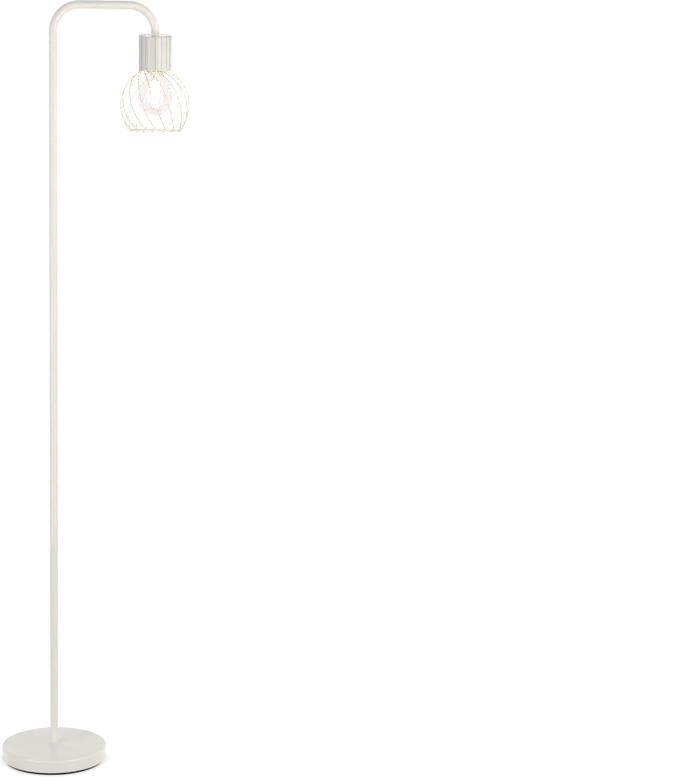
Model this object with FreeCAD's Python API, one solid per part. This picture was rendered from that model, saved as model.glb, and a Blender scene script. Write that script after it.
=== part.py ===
import FreeCAD, Part
import math
import os

V = FreeCAD.Vector

# Arc floor lamp with a wire cage round a clear bulb, in millimetres.
# The origin is on the floor under the pole, +Z is up, and the arm reaches towards +X.

# ---- Driving sizes: base -----------------------------------------------------------------
BASE_DIAMETER = 211.0          # over the rolled hem of the pressed cover
BASE_HEIGHT = 31.0             # floor to the flat top that the pole stands on
COVER_WALL = 1.2
COVER_ROUNDING = 4.0           # outer radius where the top turns into the side
HEM_RADIUS = 1.0               # rolled edge round the foot of the cover
HEM_OUTSET = 0.5               # how far the hem stands out of the side
PAD_THICKNESS = 7.0
PAD_INSET = 5.5                # pad's rim inside the cover's outer edge
PAD_RECESS = 1.0               # how far the pad sits up inside the hem
WEIGHT_GAP = 0.5               # casting inside the cover
WEIGHT_WEB = 3.0               # thickness of the casting where the nipple clamps it
CAVITY_RADIUS = 72.0           # hollow under the casting
CHANNEL_WIDTH = 12.0           # slot in the casting's rim for the lead
CHANNEL_HEIGHT = 12.0

# ---- Driving sizes: pole and arm ---------------------------------------------------------
TUBE_DIAMETER = 16.0
TUBE_WALL = 1.0
LAMP_HEIGHT = 1516.0           # floor to the top of the arm
ARM_REACH = 200.0              # pole axis to head axis
BEND_RADIUS = 52.0             # both bends, at the tube's centreline
ARM_DROP = 10.3                # straight end below the second bend
SECTION_LENGTH = 485.0         # lower and middle tube
INSERT_LENGTH = 18.0           # turned inserts at the tube joints
STUD_LENGTH = 16.0             # threaded stud above its insert
FOOT_BUSH_LENGTH = 15.0
END_BUSH_LENGTH = 9.8

# ---- Driving sizes: threaded fittings ----------------------------------------------------
THREAD_DIAMETER = 10.0
NIPPLE_BORE = 6.4
NUT_ACROSS_FLATS = 14.0
NUT_HEIGHT = 3.5
FLAT_WASHER_THICKNESS = 1.2
LOCK_WASHER_THICKNESS = 1.0
FOOT_WASHER_DIAMETER = 32.0
HEAD_WASHER_DIAMETER = 24.0
LOCK_WASHER_DIAMETER = 17.0
NIPPLE_TIP = 0.5               # nipple standing out past its nut
CHAMFER = 0.5

# ---- Driving sizes: lead and grommet -----------------------------------------------------
LEAD_DIAMETER = 4.8
CONDUCTOR_DIAMETER = 1.8
CONDUCTOR_SPREAD = 1.4         # core centres from the lead's axis
GROMMET_HOLE = 8.0
GROMMET_FLANGE = 11.0
GROMMET_INNER_FLANGE = 10.0
GROMMET_LIP = 1.5

# ---- Driving sizes: cup and cage ---------------------------------------------------------
CUP_DIAMETER = 60.4
CUP_HEIGHT = 64.2
CUP_WALL = 1.0
CUP_ROUNDING = 3.0
WIRE_COUNT = 16
WIRE_DIAMETER = 2.0
RING_DIAMETER = 2.2            # wire that the three rings are made of
TOP_RING_RISE = 3.3            # top ring's centre above the cup
TOP_RING_OUTSET = 1.0          # top ring's centreline outside the wires' centreline
CAGE_DIAMETER = 136.4          # over the wires at the widest level
CAGE_HEIGHT = 113.0            # kink in the wires to the bottom ring
WIDEST_DROP = 62.0             # kink in the wires to the widest level
MOUTH_DIAMETER = 98.0          # over the bottom ring
WIRE_TWIST = 67.5              # degrees round the head axis, neck to mouth
WIDEST_TWIST = 41.7            # degrees, neck to the widest level
SHOULDER_DROP_SHARE = 0.47     # shoulder point between kink and widest level
SHOULDER_RADIUS_SHARE = 0.75
SHOULDER_TWIST_SHARE = 0.73
KINK_BEND = 3.0                # bend radius where a wire leaves the neck
KINK_DROP = 2.4                # kink below the neck ring's centre
MOUTH_SLANT = 37.0             # degrees, wires' lean at the bottom ring
WIRE_OVERRUN = 1.2             # wire past the weld at the bottom ring
WELD_SINK = 0.1                # depth that a weld presses two wires together

# ---- Driving sizes: lampholder -----------------------------------------------------------
HOLDER_DIAMETER = 38.0
HOLDER_WALL = 2.0
HOLDER_CAP_HEIGHT = 18.0
HOLDER_CAP_BOSS = 5.0
HOLDER_BOSS_DIAMETER = 17.0
HOLDER_BODY_HEIGHT = 38.5
HOLDER_DECK = 6.5              # solid top of the body, which carries the contacts
MOUTH_BORE_DEPTH = 10.0        # wider bore at the open end
SHELL_WALL = 0.4
TERMINAL_SPACING = 22.0
TERMINAL_DIAMETER = 6.0
TERMINAL_HEIGHT = 2.5
SLOT_WIDTH = 1.0
CONTACT_SPAN = 14.0
CONTACT_WIDTH = 5.0
CONTACT_THICKNESS = 0.5
RIVET_DIAMETER = 3.0

# ---- Driving sizes: bulb -----------------------------------------------------------------
BULB_DIAMETER = 67.0
BULB_LENGTH = 119.5            # tip of the contact to the bottom of the glass
SHOULDER_ARC = 70.0            # long curve of the glass above its widest level
NECK_ARC = 20.0                # hollow curve into the neck
GLASS_NECK_DIAMETER = 25.2
GLASS_WALL = 0.8
CAP_DIAMETER = 26.0
CAP_BORE = 23.6
CAP_PITCH = 3.63
CAP_TURNS = 4
CAP_THREAD_DEPTH = 0.8
SKIRT_DIAMETER = 28.0
SKIRT_HEIGHT = 3.5
SKIRT_TAPER = 2.0
INSULATOR_HEIGHT = 4.0
INSULATOR_DIAMETER = 11.0
CONTACT_BUTTON_HEIGHT = 2.5
CONTACT_BUTTON_DIAMETER = 9.0
STEM_DIAMETER = 8.0
STEM_LENGTH = 27.0
STEM_FLARE_HEIGHT = 13.0
STEM_ROD_DIAMETER = 2.6
FILAMENT_COUNT = 4
FILAMENT_DIAMETER = 2.2
FILAMENT_TOP_RADIUS = 9.5
FILAMENT_BOTTOM_RADIUS = 5.0
FILAMENT_LENGTH = 51.0
FILAMENT_ABOVE_WIDEST = 32.5   # top ends above the widest level of the glass
SUPPORT_DIAMETER = 0.8
BOARD_THICKNESS = 1.6
CAPACITOR_DIAMETER = 6.0
CAPACITOR_HEIGHT = 6.0
CHIP_SIZE = 4.0
CHIP_HEIGHT = 1.6

# ---- Clearances --------------------------------------------------------------------------
FIT_GAP = 0.03                 # pressed, screwed and glued fits
HOLE_GAP = 0.2                 # plain holes round a nipple
SCREW_GAP = 0.35               # bulb's cap inside the holder's shell
CONTACT_GAP = 0.3              # bulb's tip below the spring contact
MOUTH_GAP = 1.2                # skirt of the bulb's cap inside the holder's mouth

# ---- Derived sizes: base -----------------------------------------------------------------
HEM_LEVEL = PAD_THICKNESS - PAD_RECESS
COVER_RADIUS = BASE_DIAMETER / 2 - HEM_OUTSET
COVER_INNER_RADIUS = COVER_RADIUS - COVER_WALL
WEIGHT_TOP = BASE_HEIGHT - COVER_WALL
WEIGHT_RADIUS = COVER_INNER_RADIUS - WEIGHT_GAP
CLAMP_LEVEL = WEIGHT_TOP - WEIGHT_WEB
FOOT_LOCK_LEVEL = CLAMP_LEVEL - FLAT_WASHER_THICKNESS
FOOT_NUT_TOP = FOOT_LOCK_LEVEL - LOCK_WASHER_THICKNESS
FOOT_NIPPLE_LOW = FOOT_NUT_TOP - NUT_HEIGHT - NIPPLE_TIP
LEAD_HEIGHT = HEM_LEVEL + 2 * HEM_RADIUS + GROMMET_FLANGE / 2

# ---- Derived sizes: pole and arm ---------------------------------------------------------
TUBE_RADIUS = TUBE_DIAMETER / 2
INSERT_RADIUS = TUBE_RADIUS - TUBE_WALL - FIT_GAP
THREAD_RADIUS = THREAD_DIAMETER / 2
TAPPED_RADIUS = THREAD_RADIUS + FIT_GAP
LOWER_JOINT = BASE_HEIGHT + SECTION_LENGTH
UPPER_JOINT = LOWER_JOINT + SECTION_LENGTH
ARM_LEVEL = LAMP_HEIGHT - TUBE_RADIUS
BEND_LEVEL = ARM_LEVEL - BEND_RADIUS
CUP_TOP = BEND_LEVEL - ARM_DROP

# ---- Derived sizes: head -----------------------------------------------------------------
CUP_RADIUS = CUP_DIAMETER / 2
CUP_LOW = CUP_TOP - CUP_HEIGHT
CUP_CEILING = CUP_TOP - CUP_WALL
WIRE_RADIUS = WIRE_DIAMETER / 2
RING_RADIUS = RING_DIAMETER / 2
WIRE_CIRCLE = CUP_RADIUS + WIRE_RADIUS - WELD_SINK
TOP_RING_LEVEL = CUP_TOP + TOP_RING_RISE
TOP_RING_CIRCLE = WIRE_CIRCLE + TOP_RING_OUTSET
WIRE_TOP = TOP_RING_LEVEL - RING_RADIUS + WELD_SINK
NECK_RING_CIRCLE = WIRE_CIRCLE - WIRE_RADIUS - RING_RADIUS + WELD_SINK
NECK_RING_LEVEL = CUP_LOW - RING_RADIUS + WELD_SINK
KINK_LEVEL = NECK_RING_LEVEL - KINK_DROP
WIDEST_LEVEL = KINK_LEVEL - WIDEST_DROP
WIDEST_CIRCLE = CAGE_DIAMETER / 2 - WIRE_RADIUS
MOUTH_CIRCLE = MOUTH_DIAMETER / 2 - RING_RADIUS
MOUTH_LEVEL = KINK_LEVEL - CAGE_HEIGHT
WELD_REACH = WIRE_RADIUS + RING_RADIUS - WELD_SINK

HEAD_LOCK_LEVEL = CUP_CEILING - FLAT_WASHER_THICKNESS
HOLDER_TOP = HEAD_LOCK_LEVEL - NUT_HEIGHT
HOLDER_RADIUS = HOLDER_DIAMETER / 2
HOLDER_SPLIT = HOLDER_TOP - HOLDER_CAP_HEIGHT
HOLDER_CAVITY_TOP = HOLDER_TOP - HOLDER_CAP_BOSS - HOLDER_WALL
HEAD_NIPPLE_LOW = HOLDER_CAVITY_TOP - NIPPLE_TIP
DECK_LEVEL = HOLDER_SPLIT - HOLDER_DECK
HOLDER_LOW = HOLDER_SPLIT - HOLDER_BODY_HEIGHT
SHELL_INNER_RADIUS = CAP_DIAMETER / 2 + SCREW_GAP
SHELL_OUTER_RADIUS = SHELL_INNER_RADIUS + SHELL_WALL
MOUTH_BORE_RADIUS = SKIRT_DIAMETER / 2 + MOUTH_GAP
MOUTH_BORE_TOP = HOLDER_LOW + MOUTH_BORE_DEPTH

# ---- Derived sizes: bulb -----------------------------------------------------------------
CONTACT_SAG = 1.2              # spring strip's middle below its ends
CONTACT_LOW = DECK_LEVEL - CONTACT_SAG - CONTACT_THICKNESS
BULB_TIP = CONTACT_LOW - CONTACT_GAP
GLASS_LOW = BULB_TIP - BULB_LENGTH
BULB_RADIUS = BULB_DIAMETER / 2
BULB_LEVEL = GLASS_LOW + BULB_RADIUS
INSULATOR_TOP = BULB_TIP - CONTACT_BUTTON_HEIGHT
CAP_TOP = INSULATOR_TOP - INSULATOR_HEIGHT
THREAD_LOW = CAP_TOP - CAP_PITCH * CAP_TURNS
SKIRT_TOP = THREAD_LOW - SKIRT_TAPER
SKIRT_LOW = SKIRT_TOP - SKIRT_HEIGHT
GLASS_NECK_RADIUS = GLASS_NECK_DIAMETER / 2
GLASS_TOP = THREAD_LOW - FIT_GAP
FILAMENT_TOP = BULB_LEVEL + FILAMENT_ABOVE_WIDEST
FILAMENT_LOW = FILAMENT_TOP - FILAMENT_LENGTH
STEM_LOW = GLASS_TOP - STEM_LENGTH
SPOKE_LEVEL = FILAMENT_LOW - SUPPORT_DIAMETER / 2 - HOLE_GAP
ROD_LOW = SPOKE_LEVEL - SUPPORT_DIAMETER


# ---- Shape helpers -----------------------------------------------------------------------
def rounded_outline(corners):
    """Closed outline in the XZ plane; a corner is (radius, height, rounding)."""
    turns = []
    for index, (radius, height, rounding) in enumerate(corners):
        corner = V(radius, 0, height)
        if rounding == 0:
            turns.append((corner, None, corner))
            continue
        before = corners[index - 1]
        after = corners[(index + 1) % len(corners)]
        back = (V(before[0], 0, before[1]) - corner).normalize()
        ahead = (V(after[0], 0, after[1]) - corner).normalize()
        half_angle = back.getAngle(ahead) / 2
        reach = rounding / math.tan(half_angle)
        inward = (back + ahead).normalize()
        middle = corner + inward * (rounding / math.sin(half_angle) - rounding)
        turns.append((corner + back * reach, middle, corner + ahead * reach))
    edges = []
    for index, (enter, middle, leave) in enumerate(turns):
        if middle is not None:
            edges.append(Part.Arc(enter, middle, leave).toShape())
        following = turns[(index + 1) % len(turns)][0]
        edges.append(Part.LineSegment(leave, following).toShape())
    return Part.Wire(edges)


def revolved(wire, axis_x=0.0):
    """Solid of revolution of an XZ outline, about a vertical axis at axis_x."""
    solid = Part.Face(wire).revolve(V(0, 0, 0), V(0, 0, 1), 360)
    solid.translate(V(axis_x, 0, 0))
    return solid


def turned(corners, axis_x=0.0):
    return revolved(rounded_outline(corners), axis_x)


def sleeve(outer, inner, low, high, axis_x=0.0, edge=0.0):
    """Plain tube or washer, with its outer edges rounded by edge."""
    return turned([(inner, low, 0), (outer, low, edge), (outer, high, edge), (inner, high, 0)],
                  axis_x)


def hoop(circle, level):
    """Ring of round wire about the head axis, its ends butted halfway between two wires."""
    ring = Part.makeTorus(circle, RING_RADIUS, V(ARM_REACH, 0, level))
    ring.rotate(V(ARM_REACH, 0, 0), V(0, 0, 1), 180.0 / WIRE_COUNT)
    return ring


def rod_between(start, end, radius):
    run = end - start
    return Part.makeCylinder(radius, run.Length, start, run)


def hex_nut(low, axis_x=0.0):
    """Thin hexagon nut with chamfered corners."""
    corner_radius = NUT_ACROSS_FLATS / math.sqrt(3)
    corners = []
    for step in range(7):
        angle = math.radians(60 * step)
        corners.append(V(corner_radius * math.cos(angle), corner_radius * math.sin(angle), low))
    prism = Part.Face(Part.makePolygon(corners)).extrude(V(0, 0, NUT_HEIGHT))
    high = low + NUT_HEIGHT
    bevel = corner_radius - NUT_ACROSS_FLATS / 2
    envelope = turned([
        (TAPPED_RADIUS, low, 0),
        (corner_radius - bevel, low, 0),
        (corner_radius, low + bevel / 2, 0),
        (corner_radius, high - bevel / 2, 0),
        (corner_radius - bevel, high, 0),
        (TAPPED_RADIUS, high, 0),
    ])
    nut = prism.common(envelope)
    nut.translate(V(axis_x, 0, 0))
    return nut


def tangent_arc(start, direction, end):
    """Arc that leaves start along direction and reaches end, and its direction there."""
    chord = end - start
    normal = direction.cross(chord).cross(direction).normalize()
    radius = chord.dot(chord) / (2 * chord.dot(normal))
    centre = start + normal * radius
    middle = centre + ((start + end) * 0.5 - centre).normalize() * radius
    leaving = chord * (2 * chord.dot(direction) / chord.dot(chord)) - direction
    return Part.Arc(start, middle, end).toShape(), leaving


def swept(edges, radius):
    """Round bar along a smooth run of lines and arcs."""
    start = edges[0].valueAt(edges[0].FirstParameter)
    direction = edges[0].tangentAt(edges[0].FirstParameter)
    section = Part.Face(Part.Wire(Part.Circle(start, direction, radius).toShape()))
    return Part.Wire(edges).makePipe(section)


def round_head(radius, turn, level):
    """Point at a radius and a turn in degrees about the head axis."""
    angle = math.radians(turn)
    return V(ARM_REACH + radius * math.cos(angle), radius * math.sin(angle), level)


# ---- Base --------------------------------------------------------------------------------
def make_base_cover():
    hole = THREAD_RADIUS + HOLE_GAP
    shell = turned([
        (hole, WEIGHT_TOP, 0),
        (COVER_INNER_RADIUS, WEIGHT_TOP, COVER_ROUNDING - COVER_WALL),
        (COVER_INNER_RADIUS, HEM_LEVEL + HEM_RADIUS, 0),
        (COVER_RADIUS, HEM_LEVEL + HEM_RADIUS, 0),
        (COVER_RADIUS, BASE_HEIGHT, COVER_ROUNDING),
        (hole, BASE_HEIGHT, 0),
    ])
    hem = Part.makeTorus(BASE_DIAMETER / 2 - HEM_RADIUS, HEM_RADIUS,
                         V(0, 0, HEM_LEVEL + HEM_RADIUS))
    lead_hole = Part.makeCylinder(GROMMET_HOLE / 2, 4 * GROMMET_HOLE,
                                  V(0, COVER_RADIUS - 2 * GROMMET_HOLE, LEAD_HEIGHT), V(0, 1, 0))
    return shell.fuse(hem).cut(lead_hole)


def make_base_weight():
    hole = THREAD_RADIUS + HOLE_GAP
    casting = turned([
        (hole, CLAMP_LEVEL, 0),
        (CAVITY_RADIUS, CLAMP_LEVEL, COVER_ROUNDING),
        (CAVITY_RADIUS, PAD_THICKNESS, 0),
        (WEIGHT_RADIUS, PAD_THICKNESS, CHAMFER),
        (WEIGHT_RADIUS, WEIGHT_TOP, COVER_ROUNDING),
        (hole, WEIGHT_TOP, 0),
    ])
    slot = Part.makeBox(CHANNEL_WIDTH, WEIGHT_RADIUS, CHANNEL_HEIGHT + PAD_THICKNESS,
                        V(-CHANNEL_WIDTH / 2, CAVITY_RADIUS - COVER_ROUNDING, 0))
    return casting.cut(slot)


def make_base_pad():
    radius = BASE_DIAMETER / 2 - PAD_INSET
    return turned([(0, 0, 0), (radius, 0, CHAMFER), (radius, PAD_THICKNESS, 0),
                   (0, PAD_THICKNESS, 0)])


def make_lock_washer():
    washer = sleeve(LOCK_WASHER_DIAMETER / 2, THREAD_RADIUS + HOLE_GAP,
                    FOOT_NUT_TOP, FOOT_LOCK_LEVEL)
    split = Part.makeBox(LOCK_WASHER_DIAMETER, SLOT_WIDTH, 3 * LOCK_WASHER_THICKNESS,
                         V(0, -SLOT_WIDTH / 2, FOOT_NUT_TOP - LOCK_WASHER_THICKNESS))
    split.rotate(V(0, 0, FOOT_NUT_TOP), V(1, 0, 0), 25)
    return washer.cut(split)


def make_grommet():
    """Bush for the lead, snapped into the back of the cover, drawn upright and laid over."""
    bore = LEAD_DIAMETER / 2 + FIT_GAP
    waist = GROMMET_HOLE / 2 - FIT_GAP
    inner_half = GROMMET_INNER_FLANGE / 2
    inner_face = math.sqrt(COVER_INNER_RADIUS ** 2 - inner_half ** 2) - FIT_GAP
    outer_face = COVER_RADIUS + FIT_GAP
    grommet = turned([
        (bore, inner_face - GROMMET_LIP, 0),
        (inner_half, inner_face - GROMMET_LIP, CHAMFER),
        (inner_half, inner_face, 0),
        (waist, inner_face, 0),
        (waist, outer_face, 0),
        (GROMMET_FLANGE / 2, outer_face, 0),
        (GROMMET_FLANGE / 2, outer_face + GROMMET_LIP, CHAMFER),
        (bore, outer_face + GROMMET_LIP, 0),
    ])
    grommet.rotate(V(0, 0, 0), V(1, 0, 0), -90)
    grommet.translate(V(0, 0, LEAD_HEIGHT))
    return grommet


def make_nipple(low, high, axis_x=0.0):
    return sleeve(THREAD_RADIUS, NIPPLE_BORE / 2, low, high, axis_x, CHAMFER)


# ---- Pole and arm ------------------------------------------------------------------------
def make_straight_tube(low, high):
    return sleeve(TUBE_RADIUS, TUBE_RADIUS - TUBE_WALL, low, high)


def make_joint_stud(level):
    """Insert in the top of a tube, flush with its end, with a hollow threaded stud."""
    return turned([
        (NIPPLE_BORE / 2, level - INSERT_LENGTH, 0),
        (INSERT_RADIUS, level - INSERT_LENGTH, CHAMFER),
        (INSERT_RADIUS, level, 0),
        (THREAD_RADIUS, level, 0),
        (THREAD_RADIUS, level + STUD_LENGTH, CHAMFER),
        (NIPPLE_BORE / 2, level + STUD_LENGTH, 0),
    ])


def make_bush(low, high, axis_x=0.0):
    """Tapped insert in the end of a tube."""
    return sleeve(INSERT_RADIUS, TAPPED_RADIUS, low, high, axis_x)


def arch_edges(low, end_level):
    """Centreline of the arm: up, over through two equal bends, and down to the head."""
    lean = BEND_RADIUS * (1 - math.sqrt(0.5))
    far = ARM_REACH - BEND_RADIUS
    return [
        Part.LineSegment(V(0, 0, low), V(0, 0, BEND_LEVEL)).toShape(),
        Part.Arc(V(0, 0, BEND_LEVEL), V(lean, 0, ARM_LEVEL - lean),
                 V(BEND_RADIUS, 0, ARM_LEVEL)).toShape(),
        Part.LineSegment(V(BEND_RADIUS, 0, ARM_LEVEL), V(far, 0, ARM_LEVEL)).toShape(),
        Part.Arc(V(far, 0, ARM_LEVEL), V(ARM_REACH - lean, 0, ARM_LEVEL - lean),
                 V(ARM_REACH, 0, BEND_LEVEL)).toShape(),
        Part.LineSegment(V(ARM_REACH, 0, BEND_LEVEL), V(ARM_REACH, 0, end_level)).toShape(),
    ]


def make_arm_tube():
    edges = arch_edges(UPPER_JOINT, CUP_TOP)
    return swept(edges, TUBE_RADIUS).cut(swept(edges, TUBE_RADIUS - TUBE_WALL))


# ---- Lead inside the lamp ----------------------------------------------------------------
def make_lead():
    """Lead from the grommet, along the base and inside the tubes, to the two terminals."""
    bend = FOOT_NIPPLE_LOW - LEAD_HEIGHT
    rise = bend * (1 - math.sqrt(0.5))
    entry = COVER_RADIUS + FIT_GAP + GROMMET_LIP
    sheath_low = HOLDER_CAVITY_TOP - 2 * LEAD_DIAMETER / 2
    edges = [
        Part.LineSegment(V(0, entry, LEAD_HEIGHT), V(0, bend, LEAD_HEIGHT)).toShape(),
        Part.Arc(V(0, bend, LEAD_HEIGHT), V(0, rise, LEAD_HEIGHT + rise),
                 V(0, 0, FOOT_NIPPLE_LOW)).toShape(),
    ]
    edges += arch_edges(FOOT_NIPPLE_LOW, sheath_low)
    lead = swept(edges, LEAD_DIAMETER / 2)
    terminal_level = HOLDER_SPLIT + TERMINAL_HEIGHT / 2
    for side in (-1, 1):
        start = V(ARM_REACH + side * CONDUCTOR_SPREAD, 0, sheath_low)
        reach = TERMINAL_SPACING / 2 - TERMINAL_DIAMETER / 2 - CONDUCTOR_DIAMETER / 4
        end = V(ARM_REACH + side * reach, 0, terminal_level)
        core, _ = tangent_arc(start, V(0, 0, -1), end)
        lead = lead.fuse(swept([core], CONDUCTOR_DIAMETER / 2))
    return lead


# ---- Cup and cage ------------------------------------------------------------------------
def make_cup():
    hole = THREAD_RADIUS + HOLE_GAP
    inner = CUP_RADIUS - CUP_WALL
    return turned([
        (hole, CUP_CEILING, 0),
        (inner, CUP_CEILING, CUP_ROUNDING - CUP_WALL),
        (inner, CUP_LOW, 0),
        (CUP_RADIUS, CUP_LOW, 0),
        (CUP_RADIUS, CUP_TOP, CUP_ROUNDING),
        (hole, CUP_TOP, 0),
    ], ARM_REACH)


def make_cage_wire(turn):
    """One wire: straight down the neck, kinked under it, then slanting round the globe."""
    corner = round_head(WIRE_CIRCLE, turn, KINK_LEVEL)
    widest = round_head(WIDEST_CIRCLE, turn + WIDEST_TWIST, WIDEST_LEVEL)
    shoulder = round_head(
        WIRE_CIRCLE + SHOULDER_RADIUS_SHARE * (WIDEST_CIRCLE - WIRE_CIRCLE),
        turn + SHOULDER_TWIST_SHARE * WIDEST_TWIST,
        KINK_LEVEL - SHOULDER_DROP_SHARE * WIDEST_DROP)
    slant = math.radians(MOUTH_SLANT)
    tip = round_head(MOUTH_CIRCLE + WELD_REACH * math.cos(slant), turn + WIRE_TWIST,
                     MOUTH_LEVEL - WELD_REACH * math.sin(slant))

    # The curve through corner, shoulder and widest point gives the direction below the kink.
    to_shoulder = shoulder - corner
    to_widest = widest - corner
    heading = to_shoulder * (1 / to_shoulder.dot(to_shoulder))
    heading = (heading - to_widest * (1 / to_widest.dot(to_widest))).normalize()
    down = V(0, 0, -1)
    setback = KINK_BEND * math.tan(down.getAngle(heading) / 2)
    bend_start = corner - down * setback
    bend_end = corner + heading * setback

    neck = Part.LineSegment(round_head(WIRE_CIRCLE, turn, WIRE_TOP), bend_start).toShape()
    bend, heading = tangent_arc(bend_start, down, bend_end)
    upper, heading = tangent_arc(bend_end, heading, widest)
    lower, heading = tangent_arc(widest, heading, tip)
    end = Part.LineSegment(tip, tip + heading * WIRE_OVERRUN).toShape()
    return swept([neck, bend, upper, lower, end], WIRE_RADIUS)


# ---- Lampholder --------------------------------------------------------------------------
def make_holder_cap():
    boss = HOLDER_BOSS_DIAMETER / 2
    shoulder = HOLDER_TOP - HOLDER_CAP_BOSS
    flare = HOLDER_RADIUS - boss
    inner = HOLDER_RADIUS - HOLDER_WALL
    return turned([
        (TAPPED_RADIUS, HOLDER_CAVITY_TOP, 0),
        (boss - HOLDER_WALL, HOLDER_CAVITY_TOP, 0),
        (inner, HOLDER_CAVITY_TOP - flare / 2, HOLDER_WALL),
        (inner, HOLDER_SPLIT, 0),
        (HOLDER_RADIUS, HOLDER_SPLIT, 0),
        (HOLDER_RADIUS, shoulder - flare / 2, 2 * HOLDER_WALL),
        (boss, shoulder, HOLDER_WALL),
        (boss, HOLDER_TOP, CHAMFER),
        (TAPPED_RADIUS, HOLDER_TOP, 0),
    ], ARM_REACH)


def make_holder_body():
    bore = SHELL_OUTER_RADIUS + FIT_GAP
    rivet_hole = RIVET_DIAMETER / 2 + FIT_GAP
    return turned([
        (rivet_hole, DECK_LEVEL, 0),
        (bore, DECK_LEVEL, 0),
        (bore, MOUTH_BORE_TOP, 0),
        (MOUTH_BORE_RADIUS, MOUTH_BORE_TOP, 0),
        (MOUTH_BORE_RADIUS, HOLDER_LOW, CHAMFER),
        (HOLDER_RADIUS, HOLDER_LOW, 2 * CHAMFER),
        (HOLDER_RADIUS, HOLDER_SPLIT, 0),
        (rivet_hole, HOLDER_SPLIT, 0),
    ], ARM_REACH)


def make_screw_shell():
    return sleeve(SHELL_OUTER_RADIUS, SHELL_INNER_RADIUS, MOUTH_BORE_TOP, DECK_LEVEL - FIT_GAP,
                  ARM_REACH)


def make_spring_contact():
    """Arched strip under the deck, held by a rivet."""
    half = CONTACT_SPAN / 2
    edge_level = DECK_LEVEL - FIT_GAP
    strip = Part.Wire([
        Part.Arc(V(-half, 0, edge_level - CONTACT_THICKNESS),
                 V(0, 0, CONTACT_LOW),
                 V(half, 0, edge_level - CONTACT_THICKNESS)).toShape(),
        Part.LineSegment(V(half, 0, edge_level - CONTACT_THICKNESS),
                         V(half, 0, edge_level)).toShape(),
        Part.Arc(V(half, 0, edge_level),
                 V(0, 0, CONTACT_LOW + CONTACT_THICKNESS),
                 V(-half, 0, edge_level)).toShape(),
        Part.LineSegment(V(-half, 0, edge_level),
                         V(-half, 0, edge_level - CONTACT_THICKNESS)).toShape(),
    ])
    spring = Part.Face(strip).extrude(V(0, CONTACT_WIDTH, 0))
    spring.translate(V(0, -CONTACT_WIDTH / 2, 0))
    rivet = Part.makeCylinder(RIVET_DIAMETER / 2, HOLDER_DECK + CONTACT_SAG,
                              V(0, 0, DECK_LEVEL - CONTACT_SAG))
    contact = spring.fuse(rivet)
    contact.translate(V(ARM_REACH, 0, 0))
    return contact


def make_terminal_screws():
    screws = []
    for side in (-1, 1):
        axis_x = ARM_REACH + side * TERMINAL_SPACING / 2
        head = turned([(0, HOLDER_SPLIT, 0), (TERMINAL_DIAMETER / 2, HOLDER_SPLIT, 0),
                       (TERMINAL_DIAMETER / 2, HOLDER_SPLIT + TERMINAL_HEIGHT, CHAMFER),
                       (0, HOLDER_SPLIT + TERMINAL_HEIGHT, 0)], axis_x)
        slot = Part.makeBox(SLOT_WIDTH, 2 * TERMINAL_DIAMETER, TERMINAL_HEIGHT,
                            V(axis_x - SLOT_WIDTH / 2, -TERMINAL_DIAMETER,
                              HOLDER_SPLIT + TERMINAL_HEIGHT / 2))
        screws.append(head.cut(slot))
    return Part.makeCompound(screws)


# ---- Bulb --------------------------------------------------------------------------------
def glass_edges(skin):
    """Profile of the glass from its lowest point to the neck, drawn skin inside its outside."""
    round_radius = BULB_RADIUS - skin
    shoulder_radius = SHOULDER_ARC - skin
    neck_curve = NECK_ARC + skin
    neck = GLASS_NECK_RADIUS - skin
    shoulder_x = BULB_RADIUS - SHOULDER_ARC
    neck_x = GLASS_NECK_RADIUS + NECK_ARC
    span = neck_x - shoulder_x
    rise = math.sqrt((SHOULDER_ARC + NECK_ARC) ** 2 - span ** 2)
    lean = math.atan2(rise, span)
    neck_level = BULB_LEVEL + rise

    def on_shoulder(angle):
        return V(shoulder_x + shoulder_radius * math.cos(angle), 0,
                 BULB_LEVEL + shoulder_radius * math.sin(angle))

    def on_neck(angle):
        return V(neck_x - neck_curve * math.cos(angle), 0,
                 neck_level - neck_curve * math.sin(angle))

    lowest = V(0, 0, BULB_LEVEL - round_radius)
    flank = V(round_radius * math.sqrt(0.5), 0, BULB_LEVEL - round_radius * math.sqrt(0.5))
    widest = V(round_radius, 0, BULB_LEVEL)
    return [
        Part.Arc(lowest, flank, widest).toShape(),
        Part.Arc(widest, on_shoulder(lean / 2), on_shoulder(lean)).toShape(),
        Part.Arc(on_neck(lean), on_neck(lean / 2), on_neck(0)).toShape(),
        Part.LineSegment(on_neck(0), V(neck, 0, GLASS_TOP)).toShape(),
    ]


def make_bulb_glass():
    outside = glass_edges(0)
    inside = glass_edges(GLASS_WALL)
    rim = Part.LineSegment(V(GLASS_NECK_RADIUS, 0, GLASS_TOP),
                           V(GLASS_NECK_RADIUS - GLASS_WALL, 0, GLASS_TOP)).toShape()
    foot = Part.LineSegment(V(0, 0, GLASS_LOW + GLASS_WALL), V(0, 0, GLASS_LOW)).toShape()
    return revolved(Part.Wire(outside + [rim] + inside[::-1] + [foot]), ARM_REACH)


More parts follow.
